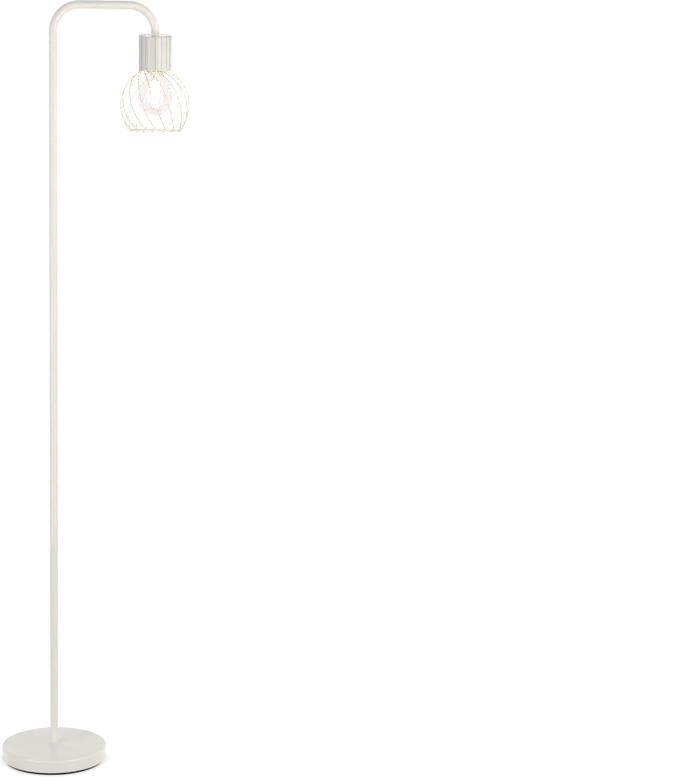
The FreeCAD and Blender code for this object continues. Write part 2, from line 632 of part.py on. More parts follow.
def make_bulb_cap():
    """Thin threaded cap with a plain skirt round the glass neck."""
    crest = CAP_DIAMETER / 2
    root = crest - CAP_THREAD_DEPTH
    neck_bore = GLASS_NECK_RADIUS + FIT_GAP
    bore = CAP_BORE / 2
    edges = [
        Part.LineSegment(V(bore, 0, CAP_TOP), V(bore, 0, THREAD_LOW)).toShape(),
        Part.LineSegment(V(bore, 0, THREAD_LOW), V(neck_bore, 0, THREAD_LOW)).toShape(),
        Part.LineSegment(V(neck_bore, 0, THREAD_LOW), V(neck_bore, 0, SKIRT_LOW)).toShape(),
        Part.LineSegment(V(neck_bore, 0, SKIRT_LOW),
                         V(SKIRT_DIAMETER / 2, 0, SKIRT_LOW)).toShape(),
        Part.LineSegment(V(SKIRT_DIAMETER / 2, 0, SKIRT_LOW),
                         V(SKIRT_DIAMETER / 2, 0, SKIRT_TOP)).toShape(),
        Part.LineSegment(V(SKIRT_DIAMETER / 2, 0, SKIRT_TOP), V(crest, 0, THREAD_LOW)).toShape(),
    ]
    for turn in range(CAP_TURNS):
        low = THREAD_LOW + turn * CAP_PITCH
        edges.append(Part.Arc(V(crest, 0, low), V(root, 0, low + CAP_PITCH / 2),
                              V(crest, 0, low + CAP_PITCH)).toShape())
    edges.append(Part.LineSegment(V(crest, 0, CAP_TOP), V(bore, 0, CAP_TOP)).toShape())
    return revolved(Part.Wire(edges), ARM_REACH)


def make_insulator():
    return turned([
        (0, CAP_TOP, 0),
        (CAP_DIAMETER / 2 - CHAMFER, CAP_TOP, 0),
        (INSULATOR_DIAMETER / 2, INSULATOR_TOP, CHAMFER),
        (0, INSULATOR_TOP, 0),
    ], ARM_REACH)


def make_tip_contact():
    half = CONTACT_BUTTON_DIAMETER / 2
    return turned([
        (0, INSULATOR_TOP, 0),
        (half, INSULATOR_TOP, 0),
        (half, BULB_TIP, CONTACT_BUTTON_HEIGHT * 0.8),
        (0, BULB_TIP, 0),
    ], ARM_REACH)


def make_stem():
    """Glass stem sealed into the neck, with a thin rod down between the filaments."""
    flare = GLASS_NECK_RADIUS - GLASS_WALL - FIT_GAP
    stem = STEM_DIAMETER / 2
    rod = STEM_ROD_DIAMETER / 2
    return turned([
        (0, ROD_LOW, 0),
        (rod, ROD_LOW, rod / 2),
        (rod, STEM_LOW, 0),
        (stem, STEM_LOW, stem / 3),
        (stem, GLASS_TOP - STEM_FLARE_HEIGHT, flare),
        (flare, GLASS_TOP - CHAMFER, 0),
        (flare, GLASS_TOP, 0),
        (0, GLASS_TOP, 0),
    ], ARM_REACH)


def filament_turn(index):
    return 360.0 * index / FILAMENT_COUNT + 180.0 / FILAMENT_COUNT


def filament_ends(index):
    turn = filament_turn(index)
    return (round_head(FILAMENT_TOP_RADIUS, turn, FILAMENT_TOP),
            round_head(FILAMENT_BOTTOM_RADIUS, turn, FILAMENT_LOW))


def make_filaments():
    sticks = []
    for index in range(FILAMENT_COUNT):
        top, low = filament_ends(index)
        sticks.append(rod_between(top, low, FILAMENT_DIAMETER / 2))
    return Part.makeCompound(sticks)


def make_support_wires():
    """Bare wires from the stem to the filaments' upper ends, and from the rod to the lower."""
    wires = []
    for index in range(FILAMENT_COUNT):
        top, low = filament_ends(index)
        turn = filament_turn(index)
        along = (top - low).normalize()
        on_stem = round_head((STEM_DIAMETER + SUPPORT_DIAMETER) / 2, turn,
                             STEM_LOW + STEM_DIAMETER / 2)
        on_rod = round_head(STEM_ROD_DIAMETER / 2 + FIT_GAP, turn, SPOKE_LEVEL)
        under = round_head(FILAMENT_BOTTOM_RADIUS + SUPPORT_DIAMETER, turn, SPOKE_LEVEL)
        wires.append(rod_between(on_stem, top + along * SUPPORT_DIAMETER, SUPPORT_DIAMETER / 2))
        wires.append(rod_between(on_rod, under, SUPPORT_DIAMETER / 2))
    return Part.makeCompound(wires)


def make_driver_board():
    """Round board in the cap, with a capacitor and a chip standing on it."""
    level = THREAD_LOW + CAP_PITCH
    board = sleeve(CAP_BORE / 2 - FIT_GAP, SLOT_WIDTH, level, level + BOARD_THICKNESS, ARM_REACH)
    top = level + BOARD_THICKNESS
    capacitor = Part.makeCylinder(CAPACITOR_DIAMETER / 2, CAPACITOR_HEIGHT,
                                  V(ARM_REACH + CAPACITOR_DIAMETER, 0, top))
    chip = Part.makeBox(CHIP_SIZE, CHIP_SIZE, CHIP_HEIGHT,
                        V(ARM_REACH - 2 * CHIP_SIZE, -CHIP_SIZE / 2, top))
    return board.fuse([capacitor, chip])


# ---- Assembly ----------------------------------------------------------------------------
PIECES = {
    "base_cover": make_base_cover(),
    "base_weight": make_base_weight(),
    "base_pad": make_base_pad(),
    "base_flat_washer": sleeve(FOOT_WASHER_DIAMETER / 2, THREAD_RADIUS + HOLE_GAP,
                               FOOT_LOCK_LEVEL, CLAMP_LEVEL),
    "base_lock_washer": make_lock_washer(),
    "base_lock_nut": hex_nut(FOOT_NUT_TOP - NUT_HEIGHT),
    "foot_nipple": make_nipple(FOOT_NIPPLE_LOW, BASE_HEIGHT + FOOT_BUSH_LENGTH - CHAMFER),
    "cord_grommet": make_grommet(),
    "foot_bush": make_bush(BASE_HEIGHT, BASE_HEIGHT + FOOT_BUSH_LENGTH),
    "pole_lower_tube": make_straight_tube(BASE_HEIGHT, LOWER_JOINT),
    "lower_joint_stud": make_joint_stud(LOWER_JOINT),
    "lower_joint_bush": make_bush(LOWER_JOINT, LOWER_JOINT + INSERT_LENGTH),
    "pole_middle_tube": make_straight_tube(LOWER_JOINT, UPPER_JOINT),
    "upper_joint_stud": make_joint_stud(UPPER_JOINT),
    "upper_joint_bush": make_bush(UPPER_JOINT, UPPER_JOINT + INSERT_LENGTH),
    "arm_tube": make_arm_tube(),
    "arm_end_bush": make_bush(CUP_TOP, CUP_TOP + END_BUSH_LENGTH, ARM_REACH),
    "head_nipple": make_nipple(HEAD_NIPPLE_LOW, CUP_TOP + END_BUSH_LENGTH - CHAMFER, ARM_REACH),
    "head_flat_washer": sleeve(HEAD_WASHER_DIAMETER / 2, THREAD_RADIUS + HOLE_GAP,
                               HEAD_LOCK_LEVEL, CUP_CEILING, ARM_REACH),
    "head_lock_nut": hex_nut(HOLDER_TOP, ARM_REACH),
    "inner_lead": make_lead(),
    "socket_cup": make_cup(),
    "cage_top_ring": hoop(TOP_RING_CIRCLE, TOP_RING_LEVEL),
    "cage_neck_ring": hoop(NECK_RING_CIRCLE, NECK_RING_LEVEL),
    "cage_bottom_ring": hoop(MOUTH_CIRCLE, MOUTH_LEVEL),
    "holder_cap": make_holder_cap(),
    "holder_body": make_holder_body(),
    "holder_screw_shell": make_screw_shell(),
    "holder_spring_contact": make_spring_contact(),
    "holder_terminal_screws": make_terminal_screws(),
    "bulb_glass": make_bulb_glass(),
    "bulb_screw_cap": make_bulb_cap(),
    "bulb_insulator": make_insulator(),
    "bulb_tip_contact": make_tip_contact(),
    "bulb_stem": make_stem(),
    "bulb_filaments": make_filaments(),
    "bulb_support_wires": make_support_wires(),
    "bulb_driver_board": make_driver_board(),
}
for number in range(WIRE_COUNT):
    PIECES["cage_wire_%02d" % (number + 1)] = make_cage_wire(360.0 * number / WIRE_COUNT)

os.makedirs("parts", exist_ok=True)
for name, shape in PIECES.items():
    shape.exportStep("parts/%s.step" % name)
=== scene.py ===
from math import acos, atan2, cos, degrees, hypot, pi, radians, sin, sqrt, tan

import bmesh
import bpy
from mathutils import Matrix, Vector


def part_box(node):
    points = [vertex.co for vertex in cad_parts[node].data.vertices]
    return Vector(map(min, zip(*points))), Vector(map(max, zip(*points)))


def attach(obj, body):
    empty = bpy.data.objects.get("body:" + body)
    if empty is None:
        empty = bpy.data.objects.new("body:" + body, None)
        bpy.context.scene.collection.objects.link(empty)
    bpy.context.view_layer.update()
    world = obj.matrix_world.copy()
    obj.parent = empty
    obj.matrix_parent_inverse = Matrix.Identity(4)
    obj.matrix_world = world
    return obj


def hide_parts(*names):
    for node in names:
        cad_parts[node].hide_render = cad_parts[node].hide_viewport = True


# Looks of the wire cage floor lamp, in metres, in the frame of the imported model:
# origin on the floor under the pole, +Z up, arm towards +X.

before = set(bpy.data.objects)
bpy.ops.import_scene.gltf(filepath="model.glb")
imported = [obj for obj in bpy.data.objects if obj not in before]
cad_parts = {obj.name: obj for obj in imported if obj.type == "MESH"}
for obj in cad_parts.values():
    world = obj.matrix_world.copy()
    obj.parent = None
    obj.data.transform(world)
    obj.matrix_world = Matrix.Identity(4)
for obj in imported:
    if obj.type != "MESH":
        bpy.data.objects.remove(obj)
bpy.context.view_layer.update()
MM = 0.001
X_AXIS = Vector((1, 0, 0))
Y_AXIS = Vector((0, 1, 0))
WHITE = (1.0, 1.0, 1.0, 1.0)


# ---- Sizes read from the frame ----
def low(node):
    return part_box(node)[0]


def high(node):
    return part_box(node)[1]


def half_width(node):
    return (high(node).x - low(node).x) / 2


def levels(node):
    return low(node).z, high(node).z


def reach_from_head(node):
    """Greatest distance of a node from the vertical axis of the head."""
    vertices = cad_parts[node].data.vertices
    return max(hypot(v.co.x - HEAD_X, v.co.y) for v in vertices)


HEAD_X = (low("socket_cup").x + high("socket_cup").x) / 2
SEAT_GAP = 0.03 * MM               # between pieces that seat in each other
CHAMFER = 0.5 * MM

HEM_RADIUS = 1.0 * MM
HEM_OUTSET = 0.5 * MM
COVER_WALL = 1.2 * MM
COVER_ROUNDING = 4.0 * MM
RIM_RADIUS = high("base_cover").x
COVER_TOP = high("base_cover").z
HEM_LEVEL = low("base_cover").z + HEM_RADIUS
COVER_RADIUS = RIM_RADIUS - HEM_OUTSET
PAD_RADIUS = high("base_pad").x
PAD_TOP = high("base_pad").z
PAD_ROUNDING = 1.6 * MM
GROMMET_HOLE_RADIUS = 4.0 * MM
GROMMET_LEVEL = sum(levels("cord_grommet")) / 2
DRILL_REACH = 6.0 * MM             # of the drill past each side of the cover's wall
HOLE_RADIUS = 5.2 * MM             # plain holes round the threaded nipples

TUBE_RADIUS = high("pole_lower_tube").x
TUBE_WALL = 1.0 * MM
TUBE_LIP = 0.25 * MM               # rounding at the ends of the tubes
LOWER_JOINT = high("pole_lower_tube").z
UPPER_JOINT = high("pole_middle_tube").z
BEND_RADIUS = 52.0 * MM
ARM_LEVEL = high("arm_tube").z - TUBE_RADIUS

THREAD_RADIUS = high("foot_nipple").x
THREAD_PITCH = 1.0 * MM
THREAD_DEPTH = 0.55 * MM
NIPPLE_BORE_RADIUS = 3.2 * MM
STUD_LENGTH = 16.0 * MM
INSERT_RADIUS = high("lower_joint_stud").x

CUP_RADIUS = half_width("socket_cup")
CUP_LOW, CUP_TOP = levels("socket_cup")
CUP_WALL = 1.0 * MM
CUP_ROUNDING = 3.0 * MM
CUP_LIP = 0.35 * MM

WIRE_COUNT = sum(name.startswith("cage_wire_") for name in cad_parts)
WIRE_RADIUS = 1.0 * MM
WIRE_SCATTER = radians(1.3)   # wires stand a little unevenly round the cage
WIRE_TWIST = 67.5                  # degrees round the head axis, neck to mouth
WIDEST_TWIST = 41.7                # degrees, neck to the widest level
KINK_BEND = 3.0 * MM
KINK_DROP = 2.4 * MM               # kink below the neck ring
WIDEST_DROP = 62.0 * MM            # widest level below the kink
SHOULDER_DROP_SHARE = 0.47
SHOULDER_RADIUS_SHARE = 0.75
SHOULDER_TWIST_SHARE = 0.73
MOUTH_SLANT = radians(37.0)
WIRE_OVERRUN = 1.2 * MM
WELD_SINK = 0.1 * MM
WELD_RADIUS = 1.45 * MM
RING_NAMES = ("cage_top_ring", "cage_neck_ring", "cage_bottom_ring")
RING_RADIUS = (high("cage_top_ring").z - low("cage_top_ring").z) / 2
RING_LEVELS = [sum(levels(ring)) / 2 for ring in RING_NAMES]
RING_CIRCLES = [reach_from_head(ring) - RING_RADIUS for ring in RING_NAMES]
WIRE_CIRCLE = CUP_RADIUS + WIRE_RADIUS - WELD_SINK
WIRE_TOP = RING_LEVELS[0] - RING_RADIUS + WELD_SINK
WIDEST_CIRCLE = reach_from_head("cage_wire_01") - WIRE_RADIUS
KINK_LEVEL = RING_LEVELS[1] - KINK_DROP
WIDEST_LEVEL = KINK_LEVEL - WIDEST_DROP

HOLDER_TOP = high("holder_cap").z
HOLDER_LOW, HOLDER_SPLIT = levels("holder_body")
HOLDER_RADIUS = half_width("holder_body")
HOLDER_WALL = 2.0 * MM
HOLDER_BOSS_RADIUS = 8.5 * MM
HOLDER_BOSS_HEIGHT = 5.0 * MM
HOLDER_CAP_RADIUS = HOLDER_RADIUS - 0.4 * MM
HOLDER_LIP = 0.3 * MM
TAPPED_RADIUS = 5.03 * MM
MOUTH_BORE_TOP, SHELL_TOP = levels("holder_screw_shell")
DECK_LEVEL = SHELL_TOP + SEAT_GAP
MOUTH_BORE_RADIUS = 15.2 * MM
RIVET_HOLE_RADIUS = 1.53 * MM
SHADE_THREAD_PITCH = 2.5 * MM
SHADE_THREAD_DEPTH = 0.7 * MM
SHADE_THREAD_TURNS = 7
SHADE_THREAD_LOW = HOLDER_LOW + 2.0 * MM
GRIP_RIB_COUNT = 36
GRIP_RIB_RADIUS = 0.45 * MM
GRIP_RIB_LENGTH = 6.5 * MM
GRIP_RIB_LOW = HOLDER_SPLIT + 0.5 * MM
SHELL_INNER_RADIUS = 13.35 * MM
SHELL_WALL = 0.4 * MM
SHELL_SLACK = 0.05 * MM            # between the shell and its bore
SHELL_THREAD_DEPTH = 0.3 * MM

BULB_RADIUS = half_width("bulb_glass")
GLASS_LOW, GLASS_TOP = levels("bulb_glass")
GLASS_WALL = 0.8 * MM
GLASS_NECK_RADIUS = 12.6 * MM
SHOULDER_ARC = 70.0 * MM
NECK_ARC = 20.0 * MM
BULB_LEVEL = GLASS_LOW + BULB_RADIUS
CAP_PITCH = 3.63 * MM
CAP_RADIUS = 13.0 * MM
CAP_BORE_RADIUS = 11.8 * MM
CAP_THREAD_DEPTH = 0.8 * MM
CAP_LOW, CAP_TOP = levels("bulb_screw_cap")
SKIRT_RADIUS = half_width("bulb_screw_cap")
SKIRT_HEIGHT = 3.5 * MM
SKIRT_TAPER = 2.0 * MM
SKIRT_ROUNDING = 0.3 * MM
INSULATOR_TOP = high("bulb_insulator").z
INSULATOR_TOP_RADIUS = 5.5 * MM
BUTTON_RADIUS = 4.5 * MM
BULB_TIP = high("bulb_tip_contact").z
STEM_RADIUS = 4.0 * MM
STEM_LOW = GLASS_TOP - 27.0 * MM
STEM_ROUNDING = 2.0 * MM
STEM_FLARE_HEIGHT = 13.0 * MM
ROD_RADIUS = 1.3 * MM
ROD_LOW = low("bulb_stem").z
ROD_TAPER_LOW = STEM_LOW - 2.0 * MM
ROD_TAPER_TOP = STEM_LOW - 0.6 * MM
ROD_TAPER_RADIUS = 1.2 * ROD_RADIUS
FILAMENT_COUNT = 4
FILAMENT_RADIUS = 1.1 * MM
FILAMENT_TOP_RADIUS = 9.5 * MM
FILAMENT_LOW_RADIUS = 5.0 * MM
FILAMENT_TOP = BULB_LEVEL + 32.5 * MM
FILAMENT_LOW = FILAMENT_TOP - 51.0 * MM
TAB_GRIP = 1.2 * MM                # metal tabs on the ends of the filaments
TAB_TIP = 0.3 * MM
TAB_RADIUS = 0.8 * FILAMENT_RADIUS
SUPPORT_RADIUS = 0.4 * MM
SPOKE_LEVEL = FILAMENT_LOW - 0.6 * MM


# ---- Mesh helpers ----
def arc(centre, radius, start, end, steps=8):
    """Points (radius, height) of an arc between two angles in degrees."""
    points = []
    for step in range(steps + 1):
        angle = radians(start + (end - start) * step / steps)
        points.append((centre[0] + radius * cos(angle),
                       centre[1] + radius * sin(angle)))
    return points


def rounded(corners, steps=6):
    """Closed outline of (radius, height) points; a corner is (radius, height, rounding)."""
    outline = []
    for index, (across, level, rounding) in enumerate(corners):
        corner = Vector((across, level))
        if rounding == 0:
            outline.append(tuple(corner))
            continue
        before = Vector(corners[index - 1][:2]) - corner
        after = Vector(corners[(index + 1) % len(corners)][:2]) - corner
        half_angle = before.angle(after) / 2
        inward = (before.normalized() + after.normalized()).normalized()
        centre = corner + inward * (rounding / sin(half_angle))
        setback = rounding / tan(half_angle)
        enter = (corner + before.normalized() * setback - centre).normalized()
        leave = (corner + after.normalized() * setback - centre).normalized()
        for step in range(steps + 1):
            outline.append(tuple(centre + enter.slerp(leave, step / steps) * rounding))
    return outline


def ring_surface(rings, sides, closed, pitch=1.0):
    """Mesh through round rings (centre, across, up, radius, groove); no radius is a point.

    A groove is the depth of a screw thread of that pitch, which winds up from ring to ring.
    """
    vertices = []
    rows = []
    for centre, across, up, radius, groove in rings:
        if radius == 0:
            rows.append([len(vertices)] * sides)
            vertices.append(centre)
            continue
        rows.append(list(range(len(vertices), len(vertices) + sides)))
        for side in range(sides):
            angle = 2 * pi * side / sides
            phase = (centre.z / pitch - side / sides) % 1.0
            local = radius - groove * (0.5 - 0.5 * cos(2 * pi * phase))
            vertices.append(centre + (across * cos(angle) + up * sin(angle)) * local)
    faces = []
    pairs = list(zip(rows, rows[1:]))
    if closed:
        pairs.append((rows[-1], rows[0]))
    for lower, upper in pairs:
        for side in range(sides):
            following = (side + 1) % sides
            corners = (lower[side], lower[following], upper[following], upper[side])
            face = list(dict.fromkeys(corners))
            if len(face) > 2:
                faces.append(face)
    mesh = bpy.data.meshes.new("surface")
    mesh.from_pydata(vertices, [], faces)
    return mesh


def lathe(outline, axis_x=0.0, sides=96, closed=True, pitch=1.0):
    """Mesh turned about a vertical axis from (radius, height) or (radius, height, groove)."""
    rings = []
    for radius, level, *groove in outline:
        rings.append((Vector((axis_x, 0, level)), X_AXIS, Y_AXIS, radius, sum(groove)))
    return ring_surface(rings, sides, closed, pitch)


def thread_run(radius, foot, top, pitch, depth, per_turn, fades=None):
    """Outline of a threaded length; its groove fades in and out over a number of steps."""
    fade_in, fade_out = fades or (per_turn, per_turn)
    count = round((top - foot) / pitch * per_turn)
    run = []
    for step in range(count + 1):
        fade = min(1.0, step / fade_in, (count - step) / fade_out)
        run.append((radius, foot + (top - foot) * step / count, depth * fade))
    return run


def bar_rings(run, normal):
    """Rings through (point, radius) along a flat path whose plane has the given normal."""
    rings = []
    for index, (point, radius) in enumerate(run):
        ahead = run[min(index + 1, len(run) - 1)][0] - run[max(index - 1, 0)][0]
        rings.append((point, ahead.normalized().cross(normal), normal, radius, 0.0))
    return rings


def round_bar(path, radius, normal, sides=16, cap=3):
    """Round bar with domed ends along a flat path."""
    first = (path[1] - path[0]).normalized()
    last = (path[-1] - path[-2]).normalized()
    start, end = [], []
    for step in range(cap + 1):
        angle = pi / 2 * step / cap
        start.append((path[0] - first * radius * cos(angle), radius * sin(angle)))
        end.append((path[-1] + last * radius * sin(angle), radius * cos(angle)))
    start[0] = (start[0][0], 0)
    end[-1] = (end[-1][0], 0)
    middle = [(point, radius) for point in path[1:-1]]
    return ring_surface(bar_rings(start + middle + end, normal), sides, False)


def joined(meshes):
    """One mesh out of several."""
    work = bmesh.new()
    for mesh in meshes:
        work.from_mesh(mesh)
    result = bpy.data.meshes.new("joined")
    work.to_mesh(result)
    work.free()
    return result


def finish_mesh(mesh, crease=35.0):
    """Faces outwards, smooth shading, sharp past the crease angle."""
    work = bmesh.new()
    work.from_mesh(mesh)
    bmesh.ops.recalc_face_normals(work, faces=work.faces)
    work.to_mesh(mesh)
    work.free()
    mesh.shade_smooth()
    mesh.set_sharp_from_angle(angle=radians(crease))


def put_in_scene(name, data):
    """New object at the origin."""
    made = bpy.data.objects.new(name, data)
    bpy.context.scene.collection.objects.link(made)
    return made


def taken_out(piece):
    """Plain mesh of an object as its modifiers leave it; the object itself goes."""
    seen = piece.evaluated_get(bpy.context.evaluated_depsgraph_get())
    mesh = bpy.data.meshes.new_from_object(seen)
    piece.modifiers.clear()
    bpy.data.objects.remove(piece)
    return mesh


def place_piece(name, mesh, finish, replaced, body="lamp", crease=35.0):
    """Adds a finished piece: its object sits at the origin and rides on a body."""
    mesh.name = name
    finish_mesh(mesh, crease)
    if not any(mesh.materials):
        mesh.materials.clear()
        mesh.materials.append(FINISHES[finish])
    piece = put_in_scene(name, mesh)
    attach(piece, body)
    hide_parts(*replaced)


def turn_piece(name, outline, finish, node, sides, body="lamp", crease=35.0, **turning):
    """Adds a piece turned about the axis of the head, or about a given one."""
    mesh = lathe(outline, turning.pop("axis_x", HEAD_X), sides, **turning)
    place_piece(name, mesh, finish, [node], body, crease)


# ---- Node helpers ----
def put(tree, kind, *values, settings=None, **named):
    """New node; values fill its inputs in order or by name, and a socket is linked."""
    made = tree.nodes.new(kind)
    for key, value in (settings or {}).items():
        setattr(made, key, value)
    wanted = list(enumerate(values))
    wanted += [(label.replace("_", " "), value) for label, value in named.items()]
    for place, value in wanted:
        if value is None:
            continue
        if isinstance(value, bpy.types.NodeSocket):
            tree.links.new(value, made.inputs[place])
        else:
            made.inputs[place].default_value = value
    return made


def add(*place, **values):
    """First output of a new node."""
    return put(*place, **values).outputs[0]


def send(tree, sockets, **values):
    """Links each value to the socket of that name."""
    for label, value in values.items():
        tree.links.new(value, sockets[label.replace("_", " ")])


def calc(tree, operation, *values, clamp=False):
    settings = {"operation": operation, "use_clamp": clamp}
    return add(tree, "ShaderNodeMath", *values, settings=settings)


def vector_calc(tree, operation, *values):
    made = put(tree, "ShaderNodeVectorMath", *values, settings={"operation": operation})
    return made.outputs["Value" if operation == "LENGTH" else "Vector"]


def blend_colours(tree, share, first, second):
    other_kinds = [None] * 5       # the node's sockets for numbers and vectors
    return put(tree, "ShaderNodeMix", share, *other_kinds, first, second,
               settings={"data_type": "RGBA"}).outputs[2]


def rescale(tree, value, from_low, from_high, to_low=0.0, to_high=1.0):
    return add(tree, "ShaderNodeMapRange", value, from_low, from_high, to_low, to_high)


def noise(tree, vector, scale, detail=2.0, roughness=0.5):
    return add(tree, "ShaderNodeTexNoise", Vector=vector, Scale=scale, Detail=detail,
               Roughness=roughness)


def new_group(name, inputs, outputs, kind="ShaderNodeTree"):
    """Node group; gives the tree, its inputs and its outputs.

    An input has a default value, or the name of its kind where it has none.
    """
    tree = bpy.data.node_groups.new(name, kind)
    kinds = {float: "Float", int: "Int", tuple: "Vector"}
    for label, default in inputs.items():
        socket_kind = kinds.get(type(default), default)
        socket = tree.interface.new_socket(label, in_out="INPUT",
                                           socket_type="NodeSocket" + socket_kind)
        if socket_kind != default:
            socket.default_value = default
    out_kind = "NodeSocketFloat" if kind == "ShaderNodeTree" else "NodeSocketGeometry"
    for label in outputs:
        tree.interface.new_socket(label, in_out="OUTPUT", socket_type=out_kind)
    given = tree.nodes.new("NodeGroupInput").outputs
    return tree, given, tree.nodes.new("NodeGroupOutput").inputs


def rgb(red, green, blue):
    return (red, green, blue, 1.0)


# ---- Shared surface effects ----
def make_powder_coat():
    """Sprayed and baked coat: fine orange peel, faint clouds of tone and of gloss."""
    tree, given, out = new_group("powder_coat", {"Vector": (0, 0, 0), "Peel Scale": 700.0},
                                 ("Height", "Tone", "Gloss"))
    here = given["Vector"]
    peel = noise(tree, here, given["Peel Scale"], 1.0)
    finer = noise(tree, here, calc(tree, "MULTIPLY", given["Peel Scale"], 3.1), 1.0)
    clouds = calc(tree, "MULTIPLY", noise(tree, here, 18.0, 3.0), 0.75)
    specks = noise(tree, here, 420.0, 2.0, 0.7)
    send(tree, out, Height=calc(tree, "MULTIPLY_ADD", finer, 0.3, peel),
         Tone=calc(tree, "MULTIPLY_ADD", specks, 0.25, clouds), Gloss=noise(tree, here, 55.0))
    return tree


def make_edge_wear():
    """Mask of outer edges, broken up, where a coat is rubbed thin."""
    tree, given, out = new_group(
        "edge_wear", {"Vector": (0, 0, 0), "Edge": 0.56, "Amount": 0.5}, ("Mask",))
    pointed = tree.nodes.new("ShaderNodeNewGeometry").outputs["Pointiness"]
    rim = rescale(tree, pointed, given["Edge"], calc(tree, "ADD", given["Edge"], 0.08))
    broken = rescale(tree, noise(tree, given["Vector"], 260.0, 3.0, 0.65), 0.45, 0.62)
    rubbed = calc(tree, "MULTIPLY", rim, broken)
    send(tree, out, Mask=calc(tree, "MULTIPLY", rubbed, given["Amount"]))
    return tree


def make_settled_dust():
    """Mask of fine dust on faces that look up."""
    tree, given, out = new_group(
        "settled_dust", {"Vector": (0, 0, 0), "Amount": 0.3}, ("Mask",))
    here = given["Vector"]
    normal = tree.nodes.new("ShaderNodeNewGeometry").outputs["Normal"]
    lying = rescale(tree, put(tree, "ShaderNodeSeparateXYZ", normal).outputs["Z"], 0.55, 0.98)
    patches = rescale(tree, noise(tree, here, 38.0, 4.0, 0.6), 0.35, 0.7, 0.15)
    grains = rescale(tree, noise(tree, here, 1900.0, 1.0), 0.5, 0.72, 0.35)
    mask = calc(tree, "MULTIPLY", calc(tree, "MULTIPLY", patches, grains), lying)
    send(tree, out, Mask=calc(tree, "MULTIPLY", mask, given["Amount"]))
    return tree


def make_turned_lines():
    """Fine lines round a vertical axis, left by turning, drawing or rolling."""
    tree, given, out = new_group(
        "turned_lines", {"Vector": (0, 0, 0), "Axis": (0, 0, 0), "Lines": 4000.0},
        ("Height", "Tone"))
    centred = vector_calc(tree, "SUBTRACT", given["Vector"], given["Axis"])
    parts = put(tree, "ShaderNodeSeparateXYZ", centred).outputs
    flat = add(tree, "ShaderNodeCombineXYZ", parts["X"], parts["Y"], 0.0)
    along = add(tree, "ShaderNodeCombineXYZ", vector_calc(tree, "LENGTH", flat), 0.0,
                parts["Z"])
    send(tree, out, Height=noise(tree, along, given["Lines"]),
         Tone=noise(tree, given["Vector"], 140.0, 3.0, 0.6))
    return tree


def make_fine_grain():
    """Fine pits and specks of a moulded, cast or foamed surface."""
    tree, given, out = new_group(
        "fine_grain", {"Vector": (0, 0, 0), "Grain Scale": 900.0, "Cells": 0.3},
        ("Height", "Tone"))
    here, scale = given["Vector"], given["Grain Scale"]
    cells = put(tree, "ShaderNodeTexVoronoi", Vector=here, Scale=scale,
                settings={"feature": "SMOOTH_F1"}).outputs["Distance"]
    height = add(tree, "ShaderNodeMix", given["Cells"], None, noise(tree, here, scale, 3.0, 0.6),
                 cells, settings={"data_type": "FLOAT"})
    send(tree, out, Height=height, Tone=noise(tree, here, 60.0, 4.0, 0.6))
    return tree


POWDER_COAT = make_powder_coat()
EDGE_WEAR = make_edge_wear()
SETTLED_DUST = make_settled_dust()
TURNED_LINES = make_turned_lines()
FINE_GRAIN = make_fine_grain()


# ---- Finishes ----
FINISHES = {}


def new_finish(name, **sockets):
    """Keeps a new material with one Principled shader; gives tree, sockets and coordinates."""
    material = bpy.data.materials.new(name)
    material.use_nodes = True
    FINISHES[name] = material
    tree = material.node_tree
    shader = tree.nodes["Principled BSDF"]
    for label, value in sockets.items():
        shader.inputs[label.replace("_", " ")].default_value = value
    return tree, shader.inputs, tree.nodes.new("ShaderNodeTexCoord").outputs["Object"]


def effect(tree, group, here, **values):
    made = put(tree, "ShaderNodeGroup", settings={"node_tree": group}, Vector=here, **values)
    return made.outputs


def covered(tree, group, here, colour, amount, over):
    """Colour under worn edges or dust, and the mask of that effect."""
    mask = effect(tree, group, here, Amount=amount)["Mask"]
    return blend_colours(tree, mask, colour, over), mask


def set_bump(tree, sockets, height, strength, depth):
    bumped = add(tree, "ShaderNodeBump", Strength=strength, Distance=depth, Height=height)
    send(tree, sockets, Normal=bumped)


def cream_paint(name, peel_scale, dust, wear, shade=1.0):
    """Off-white powder coat over steel; a shade below 1 darkens the whole coat as painted shade.
    """
    tree, sockets, here = new_finish(name, Coat_Weight=1.0, Coat_Roughness=0.08,
                                     Specular_IOR_Level=0.4)
    coat = effect(tree, POWDER_COAT, here, Peel_Scale=peel_scale)
    # painted shade: the shade factor darkens both tones of the coat evenly
    light = rgb(0.835 * shade, 0.812 * shade, 0.755 * shade)
    deep = rgb(0.79 * shade, 0.765 * shade, 0.705 * shade)
    colour = blend_colours(tree, coat["Tone"], deep, light)
    colour, _ = covered(tree, EDGE_WEAR, here, colour, wear, rgb(0.52, 0.51, 0.47))
    colour, dusty = covered(tree, SETTLED_DUST, here, colour, dust, rgb(0.60, 0.58, 0.53))
    gloss = rescale(tree, coat["Gloss"], 0.25, 0.75, 0.38, 0.48)
    rough = calc(tree, "MULTIPLY_ADD", dusty, 0.35, gloss, clamp=True)
    send(tree, sockets, Base_Color=colour, Roughness=rough)
    set_bump(tree, sockets, coat["Height"], 0.35, 0.02 * MM)


